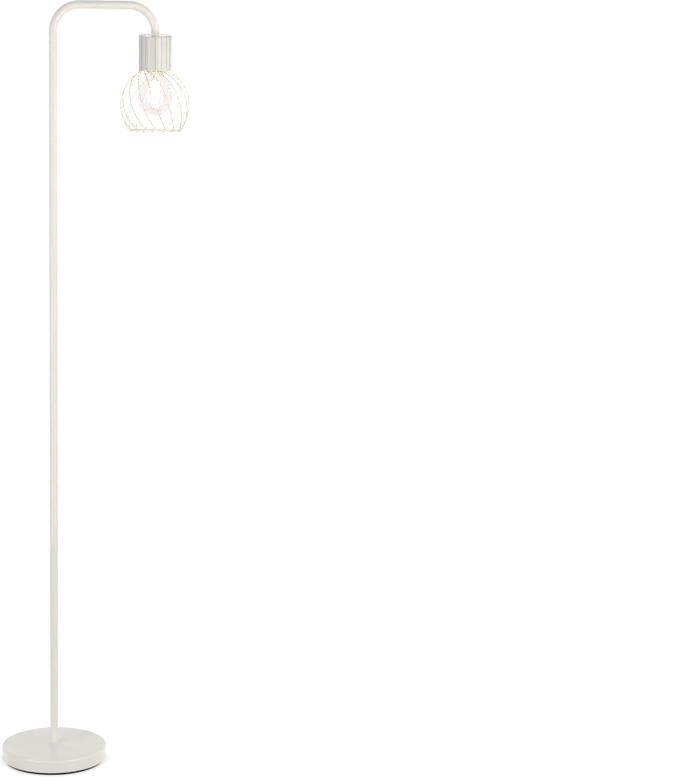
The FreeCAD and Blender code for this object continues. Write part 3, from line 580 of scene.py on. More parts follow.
def moulded(name, dark, light, roughness, grain_scale, cells, depth, dust=0.0, **sockets_set):
    """Plastic, rubber, foam or iron with a grained skin."""
    tree, sockets, here = new_finish(name, **sockets_set)
    grain = effect(tree, FINE_GRAIN, here, Grain_Scale=grain_scale, Cells=cells)
    colour = blend_colours(tree, rescale(tree, grain["Tone"], 0.3, 0.7), dark, light)
    # Painted shade: the grain's low pits are darkened towards a darker copy of the colour.
    pits = rescale(tree, grain["Height"], 0.1, 0.5, 0.25, 0.0)
    colour = blend_colours(tree, pits, colour, rgb(*(0.4 * part for part in dark[:3])))
    colour, _ = covered(tree, SETTLED_DUST, here, colour, dust, rgb(0.50, 0.48, 0.44))
    rough = rescale(tree, grain["Tone"], 0.2, 0.8, roughness - 0.06, roughness + 0.08)
    send(tree, sockets, Base_Color=colour, Roughness=rough)
    set_bump(tree, sockets, grain["Height"], 0.6, depth)


def worked_metal(name, bright, dull, roughness, axis_x=HEAD_X, lines=4000.0, wear=0.3):
    """Plated or turned metal with lines round its axis and a cloudy bloom."""
    tree, sockets, here = new_finish(name, Metallic=1.0)
    marks = effect(tree, TURNED_LINES, here, Axis=(axis_x, 0, 0), Lines=lines)
    colour = blend_colours(tree, rescale(tree, marks["Tone"], 0.35, 0.7), bright, dull)
    colour, _ = covered(tree, EDGE_WEAR, here, colour, wear, rgb(0.86, 0.85, 0.83))
    rough = rescale(tree, marks["Tone"], 0.2, 0.8, roughness - 0.07, roughness + 0.12)
    send(tree, sockets, Base_Color=colour, Roughness=rough)
    set_bump(tree, sockets, marks["Height"], 0.35, 0.012 * MM)


def clear_glass(name, tint):
    """Blown glass with faint waves, which lets lamplight through."""
    tree, sockets, here = new_finish(name, Transmission_Weight=1.0, IOR=1.47)
    streaks = noise(tree, vector_calc(tree, "MULTIPLY", here, (1.0, 1.0, 0.35)), 34.0)
    colour = blend_colours(tree, rescale(tree, streaks, 0.3, 0.7), tint,
                           rgb(tint[0] * 0.985, tint[1] * 0.975, tint[2] * 0.975))
    send(tree, sockets, Base_Color=colour, Roughness=rescale(tree, streaks, 0.2, 0.8, 0.0, 0.015))
    set_bump(tree, sockets, streaks, 0.12, 0.25 * MM)
    path = tree.nodes.new("ShaderNodeLightPath").outputs
    passing = calc(tree, "MAXIMUM", path["Is Shadow Ray"], path["Is Diffuse Ray"])
    clear = add(tree, "ShaderNodeBsdfTransparent", rgb(0.96, 0.95, 0.95))
    glass = tree.nodes["Principled BSDF"].outputs[0]
    send(tree, tree.nodes["Material Output"].inputs,
         Surface=add(tree, "ShaderNodeMixShader", passing, glass, clear))


def lit_phosphor(name):
    """Yellow phosphor sleeve of a lit filament, brighter along its chips."""
    tree, sockets, here = new_finish(name, Roughness=0.55, Emission_Strength=9.0)
    grain = effect(tree, FINE_GRAIN, here, Grain_Scale=1500.0, Cells=0.2)
    colour = blend_colours(tree, grain["Tone"], rgb(0.92, 0.62, 0.16), rgb(0.98, 0.78, 0.30))
    chip = 0.9 * MM
    level = put(tree, "ShaderNodeSeparateXYZ", here).outputs["Z"]
    spark = rescale(tree, calc(tree, "PINGPONG", level, chip), 0.0, chip)
    glow = blend_colours(tree, spark, rgb(1.0, 0.74, 0.36), rgb(1.0, 0.90, 0.64))
    send(tree, sockets, Base_Color=colour, Emission_Color=glow)
    set_bump(tree, sockets, grain["Height"], 0.4, 0.03 * MM)


def circuit_board(name):
    """Glass-fibre board with green mask, copper tracks and a fibre weave."""
    tree, sockets, here = new_finish(name, Coat_Weight=0.4, Coat_Roughness=0.2)
    weave = put(tree, "ShaderNodeTexBrick", Vector=here, Scale=900.0, Mortar_Size=0.06)
    tracks = put(tree, "ShaderNodeTexBrick", Vector=here, Scale=240.0, Mortar_Size=0.05)
    grain = effect(tree, FINE_GRAIN, here, Grain_Scale=700.0, Cells=0.1)
    colour = blend_colours(tree, grain["Tone"], rgb(0.02, 0.07, 0.035), rgb(0.035, 0.11, 0.05))
    colour = blend_colours(tree, tracks.outputs["Fac"], colour, rgb(0.07, 0.18, 0.08))
    send(tree, sockets, Base_Color=colour,
         Roughness=rescale(tree, grain["Tone"], 0.2, 0.8, 0.32, 0.48))
    set_bump(tree, sockets, weave.outputs["Fac"], 0.3, 0.02 * MM)


cream_paint("tube_paint", 650.0, dust=0.10, wear=0.15)
cream_paint("base_paint", 520.0, dust=0.22, wear=0.35)
# Painted shade: the cup gets a darker copy of the same cream coat, in place of the shade that
# falls on it inside the cage.
cream_paint("cup_paint_painted_shade", 700.0, dust=0.15, wear=0.2, shade=0.84)
# Painted shade: the cage wires get a darker copy of the same cream coat, in place of the shade
# that falls on them.
cream_paint("wire_paint_painted_shade", 900.0, dust=0.08, wear=0.25, shade=0.9)
moulded("cast_iron", rgb(0.045, 0.043, 0.042), rgb(0.09, 0.085, 0.08), 0.62, 420.0, 0.25,
        0.35 * MM, Metallic=0.6)
moulded("black_foam", rgb(0.008, 0.008, 0.009), rgb(0.02, 0.02, 0.022), 0.88, 1300.0, 0.8,
        0.3 * MM, dust=0.1, Specular_IOR_Level=0.1)
moulded("black_rubber", rgb(0.018, 0.018, 0.019), rgb(0.035, 0.035, 0.036), 0.62, 1600.0, 0.1,
        0.05 * MM, dust=0.2)
moulded("lead_sheath", rgb(0.72, 0.71, 0.66), rgb(0.80, 0.79, 0.74), 0.45, 1400.0, 0.1,
        0.03 * MM)
moulded("white_phenolic", rgb(0.70, 0.68, 0.60), rgb(0.79, 0.77, 0.70), 0.34, 1100.0, 0.15,
        0.03 * MM, dust=0.15, Coat_Weight=0.3, Coat_Roughness=0.15)
moulded("black_glass", rgb(0.012, 0.012, 0.014), rgb(0.025, 0.024, 0.03), 0.16, 500.0, 0.1,
        0.04 * MM, Coat_Weight=0.5, Coat_Roughness=0.06)
for zinc, zinc_axis in (("foot_zinc", 0.0), ("head_zinc", HEAD_X)):
    worked_metal(zinc, rgb(0.70, 0.71, 0.69), rgb(0.56, 0.56, 0.50), 0.33, zinc_axis)
worked_metal("plated_brass", rgb(0.83, 0.66, 0.36), rgb(0.62, 0.46, 0.24), 0.26)
worked_metal("cap_nickel", rgb(0.78, 0.77, 0.74), rgb(0.62, 0.60, 0.56), 0.22, lines=6000.0)
worked_metal("bulb_wire", rgb(0.74, 0.70, 0.64), rgb(0.55, 0.49, 0.42), 0.28, lines=9000.0,
             wear=0.0)
worked_metal("solder", rgb(0.66, 0.66, 0.65), rgb(0.45, 0.45, 0.45), 0.36, lines=700.0, wear=0.0)
clear_glass("bulb_glass", rgb(0.962, 0.945, 0.948))
clear_glass("stem_glass", rgb(0.94, 0.95, 0.95))
lit_phosphor("filament_phosphor")
circuit_board("circuit_board")


# ---- Repeating trees ----
def make_ring_pattern():
    """Repeats its geometry round a vertical axis, each copy turned by a small random angle."""
    tree, given, out = new_group(
        "ring_pattern",
        {"Geometry": "Geometry", "Count": 16, "First Turn": 0.0, "Scatter": 0.0, "Seed": 3,
         "Axis": (0, 0, 0), "Finish": "Material"}, ("Geometry",), "GeometryNodeTree")
    seats = add(tree, "GeometryNodePoints", given["Count"], given["Axis"])
    index = tree.nodes.new("GeometryNodeInputIndex").outputs[0]
    step = calc(tree, "DIVIDE", 2 * pi, given["Count"])
    turn = calc(tree, "MULTIPLY_ADD", index, step, given["First Turn"])
    uneven = put(tree, "FunctionNodeRandomValue", None, None,
                 calc(tree, "MULTIPLY", given["Scatter"], -1.0), given["Scatter"],
                 Seed=given["Seed"], settings={"data_type": "FLOAT"}).outputs[1]
    rotation = add(tree, "ShaderNodeCombineXYZ", 0.0, 0.0, calc(tree, "ADD", turn, uneven))
    copies = add(tree, "GeometryNodeInstanceOnPoints", Points=seats,
                 Instance=given["Geometry"], Rotation=rotation)
    plain = add(tree, "GeometryNodeRealizeInstances", copies)
    coated = add(tree, "GeometryNodeSetMaterial", Geometry=plain, Material=given["Finish"])
    send(tree, out, Geometry=coated)
    return tree


def all_of(tree, parts):
    """Several geometries as one."""
    made = tree.nodes.new("GeometryNodeJoinGeometry")
    for part in parts:
        tree.links.new(part, made.inputs[0])
    return made.outputs[0]


def circle_of(tree, radius, points):
    return add(tree, "GeometryNodeCurvePrimitiveCircle", Resolution=points, Radius=radius)


def make_wire_cage():
    """Cage: the wire drawn by the incoming path, welded to three hoops and repeated."""
    inputs = {"Path": "Geometry", "Wire Count": 16, "Wire Radius": WIRE_RADIUS, "Scatter": 0.0,
              "Seed": 5, "Ring Radius": RING_RADIUS, "Weld Radius": WELD_RADIUS,
              "Axis": (0, 0, 0), "Finish": "Material"}
    hoop_names = ("Top", "Neck", "Mouth")
    for label in hoop_names:
        inputs |= {label + " Circle": 0.0, label + " Level": 0.0, label + " Weld": (0, 0, 0)}
    tree, given, out = new_group("wire_cage", inputs, ("Geometry",), "GeometryNodeTree")
    spline = add(tree, "GeometryNodeMeshToCurve", given["Path"])
    travelled = tree.nodes.new("GeometryNodeSplineParameter").outputs["Length"]
    whole = tree.nodes.new("GeometryNodeSplineLength").outputs["Length"]
    left = calc(tree, "DIVIDE", calc(tree, "SUBTRACT", whole, travelled), given["Wire Radius"],
                clamp=True)
    dome = calc(tree, "SQRT", calc(tree, "MULTIPLY", left, calc(tree, "SUBTRACT", 2.0, left)))
    domed = add(tree, "GeometryNodeSetCurveRadius", Curve=spline,
                Radius=calc(tree, "MAXIMUM", dome, 0.1))
    wire = add(tree, "GeometryNodeCurveToMesh", Curve=domed,
               Profile_Curve=circle_of(tree, given["Wire Radius"], 14), Fill_Caps=True)
    one, hoops = [wire], []
    ring_section = circle_of(tree, given["Ring Radius"], 14)
    for label in hoop_names:
        bead = put(tree, "GeometryNodeMeshIcoSphere", given["Weld Radius"], 2).outputs["Mesh"]
        one.append(add(tree, "GeometryNodeTransform", Geometry=bead,
                       Translation=given[label + " Weld"], Scale=(0.85, 1.0, 0.85)))
        level = add(tree, "ShaderNodeCombineXYZ", 0.0, 0.0, given[label + " Level"])
        raised = add(tree, "GeometryNodeTransform",
                     Geometry=circle_of(tree, given[label + " Circle"], 144),
                     Translation=vector_calc(tree, "ADD", level, given["Axis"]))
        hoops.append(add(tree, "GeometryNodeCurveToMesh", Curve=raised,
                         Profile_Curve=ring_section))
    pattern = add(tree, "GeometryNodeGroup", settings={"node_tree": RING_PATTERN},
                  Geometry=all_of(tree, one), Count=given["Wire Count"],
                  Scatter=given["Scatter"], Seed=given["Seed"], Axis=given["Axis"],
                  Finish=given["Finish"])
    coated = add(tree, "GeometryNodeSetMaterial", Geometry=all_of(tree, hoops),
                 Material=given["Finish"])
    plain = add(tree, "GeometryNodeRealizeInstances", all_of(tree, (pattern, coated)))
    send(tree, out, Geometry=plain)
    return tree


RING_PATTERN = make_ring_pattern()
WIRE_CAGE = make_wire_cage()


def grown(mesh, tree, finish, **values):
    """Plain mesh that a tree makes from a mesh, with its named inputs set."""
    holder = put_in_scene("holder", mesh)
    modifier = holder.modifiers.new("tree", "NODES")
    modifier.node_group = tree
    sockets = {item.name: item.identifier for item in tree.interface.items_tree
               if item.item_type == "SOCKET" and item.in_out == "INPUT"}
    values |= {"Axis": (HEAD_X, 0, 0), "Finish": FINISHES[finish]}
    for label, value in values.items():
        modifier[sockets[label.replace("_", " ")]] = value
    return taken_out(holder)


# ---- Base ----
def make_base_cover():
    """Pressed cover: flat top, rounded edge, straight side and a rolled hem."""
    inner_rounding = COVER_ROUNDING - COVER_WALL
    inner = COVER_RADIUS - COVER_WALL
    underside = COVER_TOP - COVER_WALL
    hem = (RIM_RADIUS - HEM_RADIUS, HEM_LEVEL)
    meeting = degrees(acos((COVER_RADIUS - hem[0]) / HEM_RADIUS))
    outline = [(HOLE_RADIUS, underside)]
    outline += arc((inner - inner_rounding, underside - inner_rounding), inner_rounding, 90, 0)
    outline += arc(hem, HEM_RADIUS, 180, 360 + meeting, 20)
    outline += [(COVER_RADIUS, HEM_LEVEL + 3 * HEM_RADIUS)]
    outline += arc((COVER_RADIUS - COVER_ROUNDING, COVER_TOP - COVER_ROUNDING), COVER_ROUNDING,
                   0, 90, 12)
    outline += [(COVER_RADIUS * share, COVER_TOP) for share in (0.9, 0.75, 0.55, 0.35, 0.15)]
    outline += [(HOLE_RADIUS, COVER_TOP)]
    cover = put_in_scene("cover", lathe(outline, sides=256))
    drill_path = [Vector((0, COVER_RADIUS + reach, GROMMET_LEVEL))
                  for reach in (-DRILL_REACH, 0, DRILL_REACH)]
    drill = put_in_scene("drill", round_bar(drill_path, GROMMET_HOLE_RADIUS, X_AXIS, 32))
    finish_mesh(cover.data)
    finish_mesh(drill.data)
    hole = cover.modifiers.new("lead_hole", "BOOLEAN")
    hole.object = drill
    hole.solver = "EXACT"
    mesh = taken_out(cover)
    bpy.data.objects.remove(drill)
    place_piece("base_cover_skin", mesh, "base_paint", ["base_cover"])


def make_base_pad():
    """Foam disc with a soft lower edge."""
    flat = PAD_RADIUS - PAD_ROUNDING
    outline = [(0, 0), (PAD_RADIUS * 0.5, 0), (flat, 0)]
    outline += arc((flat, PAD_ROUNDING), PAD_ROUNDING, -90, 0, 6)
    outline += [(PAD_RADIUS, PAD_TOP), (PAD_RADIUS * 0.5, PAD_TOP), (0, PAD_TOP)]
    turn_piece("foam_pad", outline, "black_foam", "base_pad", 192, axis_x=0.0, closed=False)


# ---- Pole and arm ----
def tube_mesh(path, sides=64):
    """Hollow tube along a path in the XZ plane, with slightly rounded ends."""
    first = (path[1] - path[0]).normalized()
    last = (path[-1] - path[-2]).normalized()
    lips = []
    for end, heading in ((path[0], first), (path[-1], -last)):
        lips.append([(end + heading * TUBE_LIP * (1 - sin(angle)),
                      TUBE_RADIUS - TUBE_LIP * (1 - cos(angle)))
                     for angle in (0.0, pi / 4, pi / 2)])
    outer = lips[0][::-1] + [(point, TUBE_RADIUS) for point in path[1:-1]] + lips[1]
    bore = [(point, TUBE_RADIUS - TUBE_WALL) for point in path[::-1]]
    bore_rings = [(centre, -across, up, radius, groove)
                  for centre, across, up, radius, groove in bar_rings(bore, Y_AXIS)]
    return ring_surface(bar_rings(outer, Y_AXIS) + bore_rings, sides, True)


def arch_path():
    """Centreline of the arm: up, over through two equal bends, and down to the cup."""
    centre_level = ARM_LEVEL - BEND_RADIUS
    near = [Vector((x, 0, z)) for x, z in
            arc((BEND_RADIUS, centre_level), BEND_RADIUS, 180, 90, 28)]
    far = [Vector((x, 0, z)) for x, z in
           arc((HEAD_X - BEND_RADIUS, centre_level), BEND_RADIUS, 90, 0, 28)]
    start = Vector((0, 0, UPPER_JOINT))
    end = Vector((HEAD_X, 0, CUP_TOP))
    lip = Vector((0, 0, 2 * TUBE_LIP))
    return [start, start + lip] + near + far + [end + lip, end]


def make_tubes():
    """The two straight sections and the bent arm, butted end to end."""
    lip = Vector((0, 0, 2 * TUBE_LIP))
    paths = {}
    for name, start, end in (("lower_tube", COVER_TOP, LOWER_JOINT),
                             ("middle_tube", LOWER_JOINT, UPPER_JOINT)):
        foot, head = Vector((0, 0, start)), Vector((0, 0, end))
        paths[name] = ("pole_" + name, [foot, foot + lip, head - lip, head])
    paths["bent_arm"] = ("arm_tube", arch_path())
    for name, (node, path) in paths.items():
        place_piece(name, tube_mesh(path), "tube_paint", [node], crease=60.0)


def make_fittings():
    """Hollow threaded nipples, and the studs in the tube joints."""
    for node, axis_x, finish in (
            ("foot_nipple", 0.0, "foot_zinc"), ("head_nipple", HEAD_X, "head_zinc"),
            ("lower_joint_stud", 0.0, "foot_zinc"), ("upper_joint_stud", 0.0, "foot_zinc")):
        seat, top = levels(node)
        outline = [(NIPPLE_BORE_RADIUS, seat)]
        if node.endswith("_stud"):
            outline += [(INSERT_RADIUS - CHAMFER, seat), (INSERT_RADIUS, seat + CHAMFER)]
            seat = top - STUD_LENGTH
            outline += [(INSERT_RADIUS, seat), (THREAD_RADIUS, seat)]
        else:
            outline += [(THREAD_RADIUS - CHAMFER, seat)]
        outline += thread_run(THREAD_RADIUS, seat + CHAMFER, top - CHAMFER, THREAD_PITCH,
                              THREAD_DEPTH, 8)
        outline += [(THREAD_RADIUS - CHAMFER, top), (NIPPLE_BORE_RADIUS, top)]
        turn_piece("threaded_" + node, outline, finish, node, 48, axis_x=axis_x,
                   pitch=THREAD_PITCH)


# ---- Cup and cage ----
def make_cup():
    """Drawn steel cup, open below, with a small rounded lip."""
    inner = CUP_RADIUS - CUP_WALL
    outline = rounded([
        (HOLE_RADIUS, CUP_TOP - CUP_WALL, 0),
        (inner, CUP_TOP - CUP_WALL, CUP_ROUNDING - CUP_WALL),
        (inner, CUP_LOW, CUP_LIP),
        (CUP_RADIUS, CUP_LOW, CUP_LIP),
        (CUP_RADIUS, CUP_TOP, CUP_ROUNDING),
        (HOLE_RADIUS, CUP_TOP, 0),
    ], 8)
    turn_piece("drawn_cup", outline, "cup_paint_painted_shade", "socket_cup", 128)


def round_head(radius, turn, level):
    angle = radians(turn)
    return Vector((radius * cos(angle), radius * sin(angle), level))


def arc_run(start, heading, end, steps):
    """Points after start on the arc that leaves along heading to end, and its last heading."""
    chord = end - start
    side = (chord - heading * chord.dot(heading)).normalized()
    radius = chord.length_squared / (2 * chord.dot(side))
    sweep = 2 * atan2(chord.dot(side), chord.dot(heading))
    centre = start + side * radius
    points = []
    for step in range(1, steps + 1):
        angle = sweep * step / steps
        points.append(centre + (heading * sin(angle) - side * cos(angle)) * radius)
    return points, heading * cos(sweep) + side * sin(sweep)


def wire_path():
    """One wire about the head axis: straight on the neck, kinked, slanting round the globe."""
    corner = round_head(WIRE_CIRCLE, 0, KINK_LEVEL)
    widest = round_head(WIDEST_CIRCLE, WIDEST_TWIST, WIDEST_LEVEL)
    shoulder = round_head(
        WIRE_CIRCLE + SHOULDER_RADIUS_SHARE * (WIDEST_CIRCLE - WIRE_CIRCLE),
        SHOULDER_TWIST_SHARE * WIDEST_TWIST, KINK_LEVEL - SHOULDER_DROP_SHARE * WIDEST_DROP)
    weld_reach = WIRE_RADIUS + RING_RADIUS - WELD_SINK
    tip = round_head(RING_CIRCLES[2] + weld_reach * cos(MOUTH_SLANT), WIRE_TWIST,
                     RING_LEVELS[2] - weld_reach * sin(MOUTH_SLANT))
    to_shoulder = shoulder - corner
    to_widest = widest - corner
    heading = (to_shoulder / to_shoulder.length_squared
               - to_widest / to_widest.length_squared).normalized()
    down = Vector((0, 0, -1))
    setback = KINK_BEND * tan(down.angle(heading) / 2)
    bend_start = corner - down * setback
    path = [round_head(WIRE_CIRCLE, 0, WIRE_TOP), bend_start]
    bend, heading = arc_run(bend_start, down, corner + heading * setback, 6)
    upper, heading = arc_run(bend[-1], heading, widest, 26)
    lower, heading = arc_run(widest, heading, tip, 26)
    path += bend + upper + lower
    overrun = WIRE_OVERRUN + WIRE_RADIUS / 2
    for share in (0.35, 0.6, 0.8, 0.93, 1.0):
        path.append(tip + heading * overrun * share)
    welds = (
        Vector((WIRE_CIRCLE + WIRE_RADIUS / 2, 0, RING_LEVELS[0] - RING_RADIUS)),
        Vector((WIRE_CIRCLE - WIRE_RADIUS, 0, RING_LEVELS[1])),
        tip - (tip - round_head(RING_CIRCLES[2], WIRE_TWIST, RING_LEVELS[2])) / 2,
    )
    return path, welds


def make_cage():
    path, welds = wire_path()
    line = bpy.data.meshes.new("wire_path")
    line.from_pydata(path, [(i, i + 1) for i in range(len(path) - 1)], [])
    places = {}
    for label, circle, level, weld in zip(("Top", "Neck", "Mouth"), RING_CIRCLES, RING_LEVELS,
                                          welds):
        places |= {label + " Circle": circle, label + " Level": level, label + " Weld": weld}
    cage = grown(line, WIRE_CAGE, "wire_paint_painted_shade", Wire_Count=WIRE_COUNT, Wire_Radius=WIRE_RADIUS,
                 Scatter=WIRE_SCATTER, Seed=5, Ring_Radius=RING_RADIUS, Weld_Radius=WELD_RADIUS,
                 **places)
    wires = ["cage_wire_%02d" % (number + 1) for number in range(WIRE_COUNT)]
    place_piece("wire_cage", cage, "wire_paint_painted_shade", wires + list(RING_NAMES), crease=50.0)


# ---- Lampholder ----
def make_holder():
    """Phenolic cap with grip ribs, and the body with its shade thread."""
    flare = HOLDER_RADIUS - HOLDER_BOSS_RADIUS
    shoulder = HOLDER_TOP - HOLDER_BOSS_HEIGHT
    cavity = shoulder - HOLDER_WALL
    inner = HOLDER_RADIUS - HOLDER_WALL
    cap = lathe(rounded([
        (TAPPED_RADIUS, cavity, 0),
        (HOLDER_BOSS_RADIUS - HOLDER_WALL, cavity, 0),
        (inner, cavity - flare / 2, HOLDER_WALL),
        (inner, HOLDER_SPLIT, 0),
        (HOLDER_CAP_RADIUS, HOLDER_SPLIT, 0),
        (HOLDER_CAP_RADIUS, shoulder - flare / 2, 2 * HOLDER_WALL),
        (HOLDER_BOSS_RADIUS, shoulder, HOLDER_WALL),
        (HOLDER_BOSS_RADIUS, HOLDER_TOP, CHAMFER),
        (TAPPED_RADIUS, HOLDER_TOP, 0),
    ]), HEAD_X, 96)
    rib_x = HOLDER_RADIUS - GRIP_RIB_RADIUS
    rib_path = [Vector((rib_x, 0, GRIP_RIB_LOW + GRIP_RIB_LENGTH * share))
                for share in (0, 0.5, 1)]
    rib = round_bar(rib_path, GRIP_RIB_RADIUS, Y_AXIS, 10, 2)
    ribs = grown(rib, RING_PATTERN, "white_phenolic", Count=GRIP_RIB_COUNT)
    place_piece("holder_cap_shell", joined([cap, ribs]), "white_phenolic", ["holder_cap"])

    bore = SHELL_INNER_RADIUS + SHELL_WALL
    outline = [(RIVET_HOLE_RADIUS, DECK_LEVEL), (bore, DECK_LEVEL), (bore, MOUTH_BORE_TOP),
               (MOUTH_BORE_RADIUS, MOUTH_BORE_TOP),
               (MOUTH_BORE_RADIUS, HOLDER_LOW + CHAMFER),
               (MOUTH_BORE_RADIUS + CHAMFER, HOLDER_LOW), (HOLDER_RADIUS - CHAMFER, HOLDER_LOW),
               (HOLDER_RADIUS, HOLDER_LOW + CHAMFER)]
    outline += thread_run(HOLDER_RADIUS, SHADE_THREAD_LOW,
                          SHADE_THREAD_LOW + SHADE_THREAD_TURNS * SHADE_THREAD_PITCH,
                          SHADE_THREAD_PITCH, SHADE_THREAD_DEPTH, 10)
    outline += [(HOLDER_RADIUS, HOLDER_SPLIT - HOLDER_LIP),
                (HOLDER_RADIUS - HOLDER_LIP, HOLDER_SPLIT), (RIVET_HOLE_RADIUS, HOLDER_SPLIT)]
    turn_piece("holder_body_shell", outline, "white_phenolic", "holder_body", 96,
               pitch=SHADE_THREAD_PITCH)


def make_screw_shell():
    """Thin brass shell rolled with the bulb's thread."""
    inside, outside = [
        thread_run(radius, MOUTH_BORE_TOP, SHELL_TOP, CAP_PITCH, SHELL_THREAD_DEPTH, 12, (6, 6))
        for radius in (SHELL_INNER_RADIUS, SHELL_INNER_RADIUS + SHELL_WALL - SHELL_SLACK)]
    turn_piece("rolled_shell", inside + outside[::-1], "plated_brass", "holder_screw_shell", 72,
               pitch=CAP_PITCH)


# ---- Bulb ----
def glass_profile(skin, steps=26):
    """Glass from its lowest point to the neck, drawn skin inside its outside."""
    shoulder_x = BULB_RADIUS - SHOULDER_ARC
    neck_x = GLASS_NECK_RADIUS + NECK_ARC
    span = neck_x - shoulder_x
    rise = sqrt((SHOULDER_ARC + NECK_ARC) ** 2 - span ** 2)
    lean = degrees(atan2(rise, span))
    points = [(0, BULB_LEVEL - BULB_RADIUS + skin)]
    points += arc((0, BULB_LEVEL), BULB_RADIUS - skin, -90, 0, steps)[1:]
    points += arc((shoulder_x, BULB_LEVEL), SHOULDER_ARC - skin, 0, lean, steps)[1:]
    points += arc((neck_x, BULB_LEVEL + rise), NECK_ARC + skin, 180 + lean, 180, 12)[1:]
    points.append((GLASS_NECK_RADIUS - skin, GLASS_TOP))
    return points


def make_bulb_glass():
    """Blown globe, open at the neck, and the stem that carries the wires into it."""
    outline = glass_profile(0) + glass_profile(GLASS_WALL)[::-1]
    turn_piece("glass_globe", outline, "bulb_glass", "bulb_glass", 128, "bulb", 80.0,
               closed=False)
    flare = GLASS_NECK_RADIUS - GLASS_WALL - SEAT_GAP
    outline = [(0, ROD_LOW)] + arc((0, ROD_LOW + ROD_RADIUS), ROD_RADIUS, -90, 0, 5)[1:]
    outline += [(ROD_RADIUS, ROD_TAPER_LOW), (ROD_TAPER_RADIUS, ROD_TAPER_TOP)]
    outline += arc((STEM_RADIUS - STEM_ROUNDING, STEM_LOW + STEM_ROUNDING), STEM_ROUNDING,
                   -60, 0, 5)
    neck_level = GLASS_TOP - STEM_FLARE_HEIGHT
    outline += [(STEM_RADIUS, neck_level)]
    for step in range(1, 11):
        share = step / 10
        outline.append((STEM_RADIUS + (flare - STEM_RADIUS) * share ** 2.4,
                        neck_level + (STEM_FLARE_HEIGHT - CHAMFER) * share))
    outline += [(flare, GLASS_TOP), (0, GLASS_TOP)]
    turn_piece("glass_stem", outline, "stem_glass", "bulb_stem", 64, "bulb", 60.0,
               closed=False)


def make_bulb_cap():
    """Rolled screw cap, black glass insulator and the solder tip."""
    neck_bore = GLASS_NECK_RADIUS + SEAT_GAP
    skirt_top = CAP_LOW + SKIRT_HEIGHT
    thread_low = skirt_top + SKIRT_TAPER
    outline = [(CAP_BORE_RADIUS, CAP_TOP), (CAP_BORE_RADIUS, thread_low),
               (neck_bore, thread_low), (neck_bore, CAP_LOW)]
    outline += arc((SKIRT_RADIUS - SKIRT_ROUNDING, CAP_LOW + SKIRT_ROUNDING), SKIRT_ROUNDING,
                   -90, 0, 4)
    outline += [(SKIRT_RADIUS, skirt_top), (CAP_RADIUS, thread_low)]
    outline += thread_run(CAP_RADIUS, thread_low, CAP_TOP, CAP_PITCH, CAP_THREAD_DEPTH, 14,
                          (5, 10))[1:]
    turn_piece("rolled_cap", outline, "cap_nickel", "bulb_screw_cap", 96, "bulb", 50.0,
               pitch=CAP_PITCH)

    edge = CAP_RADIUS - 2 * CHAMFER
    foot = CAP_TOP + CHAMFER
    outline = [(0, CAP_TOP), (CAP_RADIUS - CHAMFER, CAP_TOP), (edge, foot)]
    for step in range(1, 9):
        share = step / 8
        outline.append((edge + (INSULATOR_TOP_RADIUS - edge) * share ** 0.8,
                        foot + (INSULATOR_TOP - foot) * share ** 1.6))
    outline.append((0, INSULATOR_TOP))
    turn_piece("glass_insulator", outline, "black_glass", "bulb_insulator", 64, "bulb", 60.0,
               closed=False)

    rise = BULB_TIP - INSULATOR_TOP
    outline = [(0, INSULATOR_TOP), (BUTTON_RADIUS, INSULATOR_TOP),
               (BUTTON_RADIUS, INSULATOR_TOP + 0.3 * rise)]
    for step in range(1, 9):
        angle = pi / 2 * step / 8
        outline.append((BUTTON_RADIUS * cos(angle) if step < 8 else 0,
                        INSULATOR_TOP + rise * (0.3 + 0.7 * sin(angle))))
    turn_piece("solder_tip", outline, "solder", "bulb_tip_contact", 48, "bulb", 60.0,
               closed=False)


def make_filaments():
    """Four lit sticks that lean together downwards, and the wires that carry them."""
    top = Vector((FILAMENT_TOP_RADIUS, 0, FILAMENT_TOP))
    bottom = Vector((FILAMENT_LOW_RADIUS, 0, FILAMENT_LOW))
    along = (top - bottom).normalized()
    stick = round_bar([bottom + along * FILAMENT_RADIUS, (top + bottom) / 2,
                       top - along * FILAMENT_RADIUS], FILAMENT_RADIUS, Y_AXIS, 18, 4)
    pattern = {"Count": FILAMENT_COUNT, "First Turn": pi / FILAMENT_COUNT}
    place_piece("lit_filaments", grown(stick, RING_PATTERN, "filament_phosphor", **pattern),
                "filament_phosphor", ["bulb_filaments"], "bulb", 80.0)

    leave = Vector((STEM_RADIUS - SUPPORT_RADIUS, 0, STEM_LOW + STEM_RADIUS))
    upper = []
    for step in range(13):
        share = step / 12
        sideways = leave.x + (top.x - leave.x) * (3 * share ** 2 - 2 * share ** 3)
        upper.append(Vector((sideways, 0, leave.z + (top.z + SUPPORT_RADIUS - leave.z) * share)))
    lower = [Vector((ROD_RADIUS + (bottom.x - ROD_RADIUS) * share, 0, SPOKE_LEVEL))
             for share in (0, 0.4, 0.8)]
    lower += [Vector((bottom.x + SUPPORT_RADIUS, 0, SPOKE_LEVEL + SUPPORT_RADIUS / 2))]
    parts = [round_bar(path, SUPPORT_RADIUS, Y_AXIS, 10) for path in (upper, lower)]
    for end, heading in ((top, along), (bottom, -along)):
        parts.append(round_bar([end - heading * TAB_GRIP, end, end + heading * TAB_TIP],
                               TAB_RADIUS, Y_AXIS, 12, 2))
    place_piece("filament_supports", grown(joined(parts), RING_PATTERN, "bulb_wire", **pattern),
                "bulb_wire", ["bulb_support_wires"], "bulb", 60.0)


